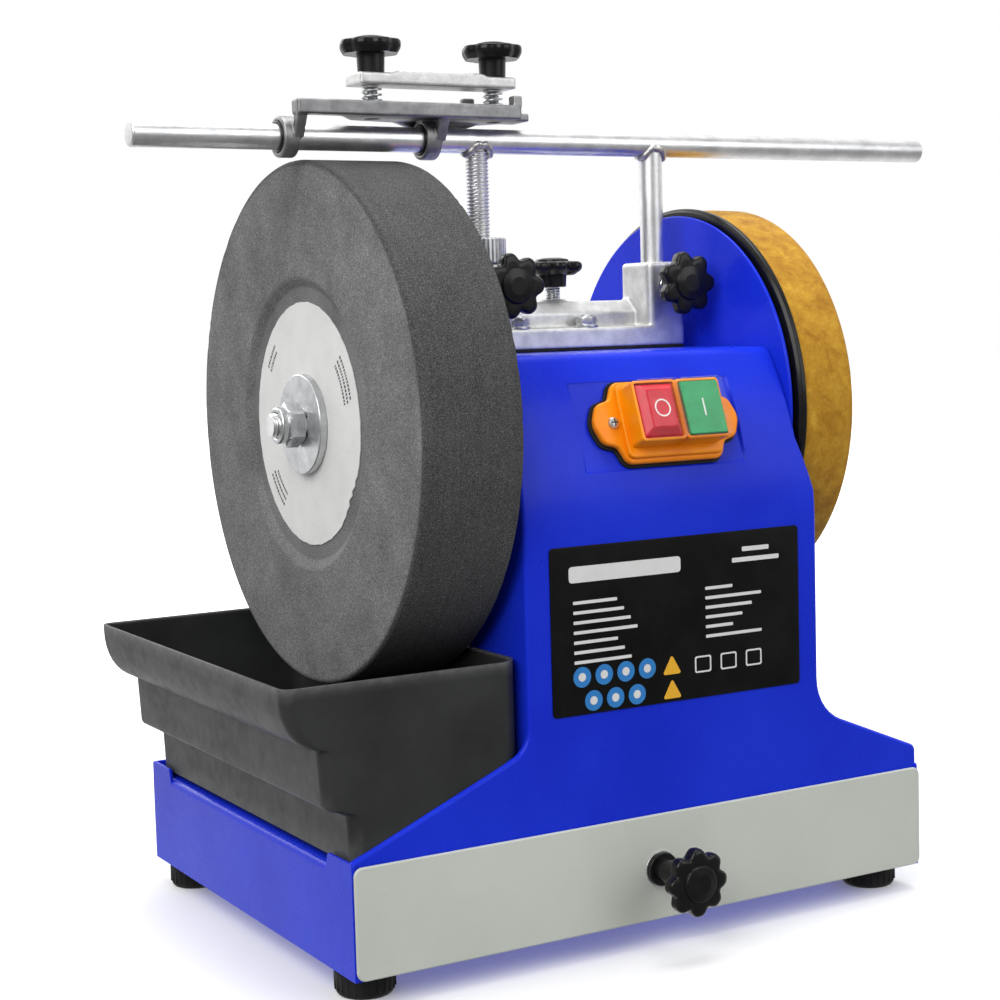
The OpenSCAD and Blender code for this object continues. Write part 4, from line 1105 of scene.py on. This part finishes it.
# ---------------------------------------------------------------- jig
def jig():
    """The sharpening jig: a hooked base casting, bushes on the bar, a clamp bar and two springs."""
    screws = (centre_mm("left_clamp_knob").x, centre_mm("right_clamp_knob").x)
    hooks = (-13.0, 61.5)
    wide = 8.0
    low, thick = bar.z + 9.4, 7.0
    top = low + thick
    x0, x1 = -9.0, 110.5
    y0, y1 = bar.y - 16, bar.y + 16
    solid = Shape()
    plan = [(x0, y0), (x1, y0), (x1, y1 - 8), (104, y1), (66, y1), (28, y1 - 8), (16, y0 + 8), (x0, y0 + 8)]
    solid.prism(soften(plan, [1.5, 1.5, 3, 3, 5, 5, 5, 1], 3), "Z", low, top, 0.7)
    solid.block((x1 - 2, y0 + 8, low), (x1 + 8.5, y1 - 8, low + 4), 0.8)
    strap = [(bar.y - 9.5, bar.z - 1), (bar.y - 7.6, bar.z - 1), (bar.y - 9.5, low + 2), (y0 + 0.3, low + 2)]
    for x in hooks:
        solid.rod("X", bar, 9.6, x, x + wide, 0.8, 48)
        solid.prism(strap, "X", x + 4.5, x + 9.5, 0.4)
    gusset = [(50, low + 1), (68, low - 5), (84, low - 5), (104, low + 1)]
    solid.prism(gusset, "Y", bar.y + 8, bar.y + 12, 0.3)
    solid.block((93, y1 - 3.4, top - 1), (100, y1, top + 6), 0.5)
    solid.block((x1 - 4.5, y0, top - 1), (x1, y0 + 6, top + 4.5), 0.5)
    cuts = Shape()
    for x in hooks:
        cuts.rod("X", bar, 7.45, x - 3, x + wide + 3, 0.1, 48)
    for x in screws:
        cuts.rod("Z", (x, bar.y, 0), 3.9, low - 3, top + 3, 0.1)
    settle(casting("jig_casting", solid, cuts, 0.5, 3), "jig", "cast_grey", ["jig_base"], weighted=False)
    rings = Shape()
    for x in hooks:
        rings.rod("X", bar, 7.4, x - 0.5, x + wide + 0.5, 0.5, 48, bore=6.06)
    settle(rings.build("bush_rings"), "jig_carrier", "black_plastic", ["jig_bushes"])
    lo, hi = box_mm("clamp_bar")
    shoulder = hi.z - 1.2
    raised = [(96, shoulder), (93, hi.z), (48, hi.z), (45, shoulder)]
    clamp = Shape()
    outline = [(lo.x, lo.z), (hi.x, lo.z), (hi.x, shoulder), *raised, (lo.x, shoulder)]
    clamp.prism(outline, "Y", lo.y, hi.y, 1.0)
    obj = casting("clamp_casting", clamp, None, 0.45, 3)
    settle(obj, "jig_clamp", "cast_aluminium", ["clamp_bar"], weighted=False)
    springs = Shape()
    coil_r, wire_r, turns, closed_end, points = 4.5, 0.55, 3.8, 0.12, 90
    for x in screws:
        path = []
        for k in range(points + 1):
            t = k / points
            rise = min(1, max(0, (t - closed_end) / (1 - 2 * closed_end)))
            flat = polar(coil_r, TURN * turns * t, x, bar.y)
            path.append(Vector((*flat, top + wire_r + (lo.z - top - 2 * wire_r) * rise)))
        springs.wire(path, lambda t: wire_r)
    obj = springs.build("jig_springs", 60)
    settle(obj, "jig", "zinc", ["clamp_springs"], weighted=False)
    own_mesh(obj)


# ---------------------------------------------------------------- switch
def switch_outline(grow):
    half = [(26.5, 19.9), (30.2, 11.5), (37.5, 9.5), (41.6, 0), (37.5, -9.5), (30.2, -11.5), (26.5, -19.9)]
    points = half + [(-x, -y) for x, y in half]
    return inset(anticlockwise(soften(points, [5, 4, 5, 9, 5, 4, 5] * 2, 6)), -grow)


def cross(size, arm):
    quarter = [(size, -arm), (size, arm), (arm, arm)]
    points = []
    for _ in range(4):
        points += quarter
        quarter = [(-y, x) for x, y in quarter]
    return points


def switch():
    """The two-button switch, drawn about its middle with Y into the housing, then turned to its lean."""
    back, thick, up = POCKET_D - SHEET, 3.5, 1.5
    face = back - thick
    front = face - 12.4
    centres = (-12.4, 12.4)
    gasket = Shape(SWITCH)
    gasket.prism(switch_outline(1.2), "Y", back, POCKET_D, 0.3)
    settle(gasket.build("switch_seal"), "base", "rubber", ["switch_gasket"])
    frame_w, frame_h = 24.6, 29.4
    slots = [rectangle(22.2, 26.8, 1, 2, c, up) for c in centres]
    plate = Shape(SWITCH)
    plate.prism(switch_outline(0), "Y", face, back, 1.2, holes=slots)
    plate.prism(rectangle(53.5, 35.5, 3), "Y", face - 2.2, face + 0.5, 0.8, holes=slots)
    for c, slot in zip(centres, slots):
        plate.prism(rectangle(frame_w, frame_h, 2, 5, c, up), "Y", front, face, 0.8, holes=[slot])
    settle(plate.build("switch_body"), "base", "switch_orange", ["switch_plate"])
    screws = Shape(SWITCH)
    head = [(0, face - 1.8), (1.6, face - 1.75), (2.6, face - 1.2), (3.0, face - 0.2), (3.0, face)]
    shank = [(2.0, face), (2.0, back), (0, back)]
    for x in (-30.7, 30.7):
        screws.lathe(head + shank, "Y", (x, 0, 0), 32)
        screws.prism([(x + u, v) for u, v in cross(1.7, 0.38)], "Y", face - 1.86, face - 1.5, 0, 1)
    settle(screws.build("switch_fixings"), "base", "zinc", ["switch_screws"], [RECESS_DARK])
    cap_w, cap_h = 21.4, 26.0
    levels = [(0, 2.9), (0, front + 1.5), (0.25, front + 0.9), (1.0, front - 0.1), (3.2, front - 2.3),
              (3.9, front - 2.8), (4.8, front - 3.0)]
    stop = Shape(SWITCH)
    stop.rings([[(p.x, y, p.y) for p in rectangle(cap_w - 2 * i, cap_h - 2 * i, 1.0, 4, centres[0], up)]
                for i, y in levels])
    ring_out, ring_in = (circle(r, 40, centres[0], up) for r in (4.3, 3.6))
    stop.prism(ring_out, "Y", front - 3.12, front - 2.9, 0, 1, holes=[ring_in])
    settle(stop.build("stop_cap"), "stop", "stop_red", ["stop_button"], [MARK_WHITE])
    start = Shape(SWITCH)
    start.prism(rectangle(cap_w, cap_h, 1.0, 4, centres[1], up), "Y", front - 1, 2.9, 0.6)
    start.prism(rectangle(0.8, 8.5, 0, 1, centres[1], up), "Y", front - 1.12, front - 0.9, 0, 1)
    settle(start.build("start_cap"), "start", "start_green", ["start_button"], [MARK_WHITE])
    outside = [(0.0, front - 0.02), (-0.4, front - 0.4), (0.0, front - 0.8), (0.0, front - 3.2),
               (0.35, front - 3.9), (1.1, front - 4.3)]
    inside = [(0.9, front - 3.95), (0.6, front - 3.2), (0.6, front - 0.02)]
    cover = Shape(SWITCH)
    for c in centres:
        bm = bmesh.new()

        def loop(inwards, y):
            w, h = (size - 1 - 2 * inwards for size in (frame_w, frame_h))
            return [bm.verts.new((p.x, y, p.y)) for p in rectangle(w, h, max(0.4, 2.2 - inwards), 5, c, up)]

        outer = [loop(*row) for row in outside]
        inner = [loop(*row) for row in inside]
        skin(bm, outer)
        skin(bm, [*inner, outer[0]])
        bm.faces.new(outer[-1])
        bm.faces.new(inner[0][::-1])
        cover.take(bm, 0)
    settle(cover.build("clear_caps"), "base", "clear_cover", ["switch_covers"])


# ---------------------------------------------------------------- plate, drawer, trough
def rating_plate():
    """A black film plate with blank bars, plain discs and outlines where a real one has its print."""
    lo, hi = box_mm("label_plate")
    y, proud = lo.y, 0.05
    shape = Shape()

    def mark(outline, mat, high=proud, deep=proud, holes=()):
        shape.prism(outline, "Y", y - high, y + deep, 0, mat, holes=holes)

    def bar_at(x, z, wide, tall):
        mark(rectangle(wide, tall, min(wide, tall) * 0.2, 2, lo.x + x + wide / 2, hi.z - z), 1)

    outline = rectangle(hi.x - lo.x, hi.z - lo.z, 2, 5, (lo.x + hi.x) / 2, (lo.z + hi.z) / 2)
    shape.prism(outline, "Y", y, hi.y - 0.01, 0.15)
    bar_at(10, 13, 62, 7.5)
    rows = 7
    for k in range(rows):
        z = 26 + 4.6 * k
        bar_at(12, z, 24 + 11 * ((k * 5) % 4) / 3, 1.5)
        if k < rows - 1:
            bar_at(86, z, 16 + 17 * ((k * 3) % 4) / 3, 1.5)
    bar_at(108, 9, 16, 2.2)
    bar_at(102, 14, 28, 2.2)
    signs_z, pitch_z = hi.z - 60.5, 11.5
    for row, count in enumerate((4, 3)):
        for k in range(count):
            centre = (lo.x + 16 + 12 * k + 6 * row, signs_z - pitch_z * row)
            mark(circle(4.8, 32, *centre), 2)
            mark(circle(2.0, 20, *centre), 1, proud + 0.03, 0)
    for k in range(2):
        x, z = lo.x + 66, signs_z - pitch_z * k
        mark(soften([(x - 5.4, z - 4.4), (x + 5.4, z - 4.4), (x, z + 5)], 0.8, 3), 3)
    for k in range(3):
        c = (lo.x + 84 + 15 * k, hi.z - 62)
        mark(rectangle(9.5, 8, 1, 2, *c), 1, holes=[rectangle(7.9, 6.4, 0.6, 2, *c)])
    settle(shape.build("rating_plate", 30), "base", "label_black", ["label_plate"],
           [PRINT_PALE, PRINT_BLUE, PRINT_AMBER], weighted=False)


def drawer():
    """The drawer's front panel with the washer behind its knob."""
    lo, hi = box_mm("drawer_front")
    cx, cz = (lo.x + hi.x) / 2, (lo.z + hi.z) / 2
    shape = Shape()
    shape.prism(rectangle(hi.x - lo.x, hi.z - lo.z, 4, 6, cx, cz), "Y", lo.y, hi.y, 0.7)
    pull = centre_mm("drawer_knob")
    shape.rod("Y", pull, 8.6, lo.y - 0.8, lo.y + 0.2, 0.2, 40, 1)
    settle(shape.build("drawer_panel"), "drawer", "panel_paint", ["drawer_front"], [MATERIALS["zinc"]])


def trough():
    """The moulded trough: a flared lip over two steps on its outer side, soft corners and a thin rim."""
    x1, rim, wall = trough_hi.x, trough_hi.z, 2.0
    y0, y1 = trough_lo.y, trough_hi.y
    wide = trough_lo.x
    r_left, r_right = 6.0, 12.0
    flare = [(rim - 3 - 25.5 * math.sin(t), wide + 17 * (1 - math.cos(t)))
             for t in (math.pi / 2 * k / 9 for k in range(1, 9))]
    # the outer side from the rim down, as (height, X)
    side = [(rim, wide), (rim - 3, wide + 0.05), *flare, (rim - 28.8, wide + 16.6), (rim - 30, wide + 17.2),
            (rim - 53, wide + 18.4), (rim - 54.8, wide + 19.4), (rim - 56, wide + 21.4),
            (rim - 58, wide + 27.6), (rim - 59.2, wide + 29.4), (rim - 61, wide + 30.2), (DECK + 3, wide + 31),
            (DECK + 0.6, wide + 32), (DECK, wide + 34)]

    def loop(z, x0, inwards, rounding):
        left, right, front, back = x0 + inwards, x1 - inwards, y0 + inwards, y1 - inwards
        corners = [(left, front), (right, front), (right, back), (left, back)]
        radii = [r_left - rounding, r_right - rounding, r_right - rounding, r_left - rounding]
        return [(p.x, p.y, z) for p in soften(corners, radii, 8)]

    loops = [loop(z, x, max(0.0, DECK + 3 - z) * 0.7, 0) for z, x in reversed(side)]
    loops += [loop(rim, wide, 0.5, 0.5), loop(rim, wide, 1.4, 1.4), loop(rim - 0.6, wide, wall, wall)]
    loops += [loop(z, x, wall, wall) for z, x in side[1:] if z > DECK + 3]
    loops += [loop(DECK + wall + 1, wide + 31, wall + 0.6, wall), loop(DECK + wall, wide + 32, wall + 2, wall)]
    shape = Shape()
    shape.rings(loops)
    settle(shape.build("trough_shell", 42), "trough", "trough_plastic", ["water_trough"])


for make in (housing, guard, base, gland, stone, blotters, shaft_and_nuts, strop_wheel, knobs, support,
             bracket, jig, switch, rating_plate, drawer, trough):
    make()

# ---------------------------------------------------------------- CAD nodes that stay
for part in frame["record"]["subparts"]:
    node = frame["nodes"][part["node"]]
    node.data.materials.clear()
    node.data.materials.append(MATERIALS[part["material_slot"]])


# ---------------------------------------------------------------- studio
def studio():
    """A pale floor with a painted glow that brightens with distance, a world dimmer on the near side, and four
    soft lights.
    """
    mesh = bpy.data.meshes.new("studio_floor")
    bm = bmesh.new()
    bmesh.ops.create_grid(bm, x_segments=4, y_segments=4, size=6)
    bm.to_mesh(mesh)
    bm.free()
    floor = bpy.data.objects.new("studio_floor", mesh)
    scene.collection.objects.link(floor)
    n = Nodes("studio_floor")
    away = n.add("ShaderNodeVectorMath", operation="LENGTH")
    n.link(n.coord, away.inputs[0])
    # painted light: the floor glows faintly near the machine and strongly far from it
    n.link(n.grey(away.outputs["Value"], 0.12, 0.75, 0.25, 1.0), n.shader.inputs["Emission Strength"])
    n.shader.inputs["Emission Color"].default_value = (1, 1, 1, 1)
    mesh.materials.append(n.done(n.grey(n.noise(900, 2), 0.80, 0.84), n.grey(n.noise(400, 2), 0.6, 0.7)))
    floor.visible_diffuse = False
    floor.visible_glossy = False
    world = bpy.data.worlds.new("studio_world")
    scene.world = world
    world.use_nodes = True
    tree = world.node_tree
    towards = tree.nodes.new("ShaderNodeTexCoord")
    facing = tree.nodes.new("ShaderNodeVectorMath")
    facing.operation = "DOT_PRODUCT"
    facing.inputs[1].default_value = (0.497, 0.867, 0.1)
    tree.links.new(towards.outputs["Generated"], facing.inputs[0])
    shade = tree.nodes.new("ShaderNodeMapRange")
    for name, value in (("From Min", -0.25), ("From Max", 0.55), ("To Min", 0.30), ("To Max", 1.0)):
        shade.inputs[name].default_value = value
    tree.links.new(facing.outputs["Value"], shade.inputs["Value"])
    tree.links.new(shade.outputs[0], tree.nodes["Background"].inputs["Strength"])
    tree.nodes["Background"].inputs["Color"].default_value = (1.0, 1.0, 1.0, 1)
    for name, where, size, power, tint in (
        ("key", (-1.7, -1.1, 1.5), 1.7, 44, (1.0, 0.99, 0.97)),
        ("fill", (1.1, -2.2, 1.3), 1.6, 20, (0.98, 0.99, 1.0)),
        ("top", (0.1, 0.2, 2.3), 1.4, 34, (1.0, 1.0, 1.0)),
        ("rim", (-0.6, 1.9, 1.3), 1.2, 14, (1.0, 1.0, 1.0)),
    ):
        light = bpy.data.lights.new(name, "AREA")
        light.size = size
        light.energy = power
        light.color = tint
        obj = bpy.data.objects.new(name, light)
        obj.location = where
        aim = Vector((0, 0, 0.18)) - Vector(where)
        obj.rotation_euler = aim.to_track_quat("-Z", "Y").to_euler()
        scene.collection.objects.link(obj)


def camera():
    """From the left front, nearly level, with a slight roll."""
    turn, dip, roll = (math.radians(d) for d in (29.83, 5.31, -1.64))
    ahead = Vector((math.sin(turn) * math.cos(dip), math.cos(turn) * math.cos(dip), -math.sin(dip)))
    side = Vector((math.cos(turn), -math.sin(turn), 0))
    up = side.cross(ahead)
    right = math.cos(roll) * side + math.sin(roll) * up
    top = -math.sin(roll) * side + math.cos(roll) * up
    data = bpy.data.cameras.new("camera")
    data.sensor_width = 36
    data.lens = 70.07
    data.clip_start = 0.01
    obj = bpy.data.objects.new("camera", data)
    scene.collection.objects.link(obj)
    rotation = Matrix((right, top, -ahead)).transposed().to_4x4()
    obj.matrix_world = Matrix.Translation((STONE_X - 0.3827, -0.8559, 0.2975)) @ rotation
    scene.camera = obj


studio()
camera()
scene.view_settings.view_transform = "Standard"
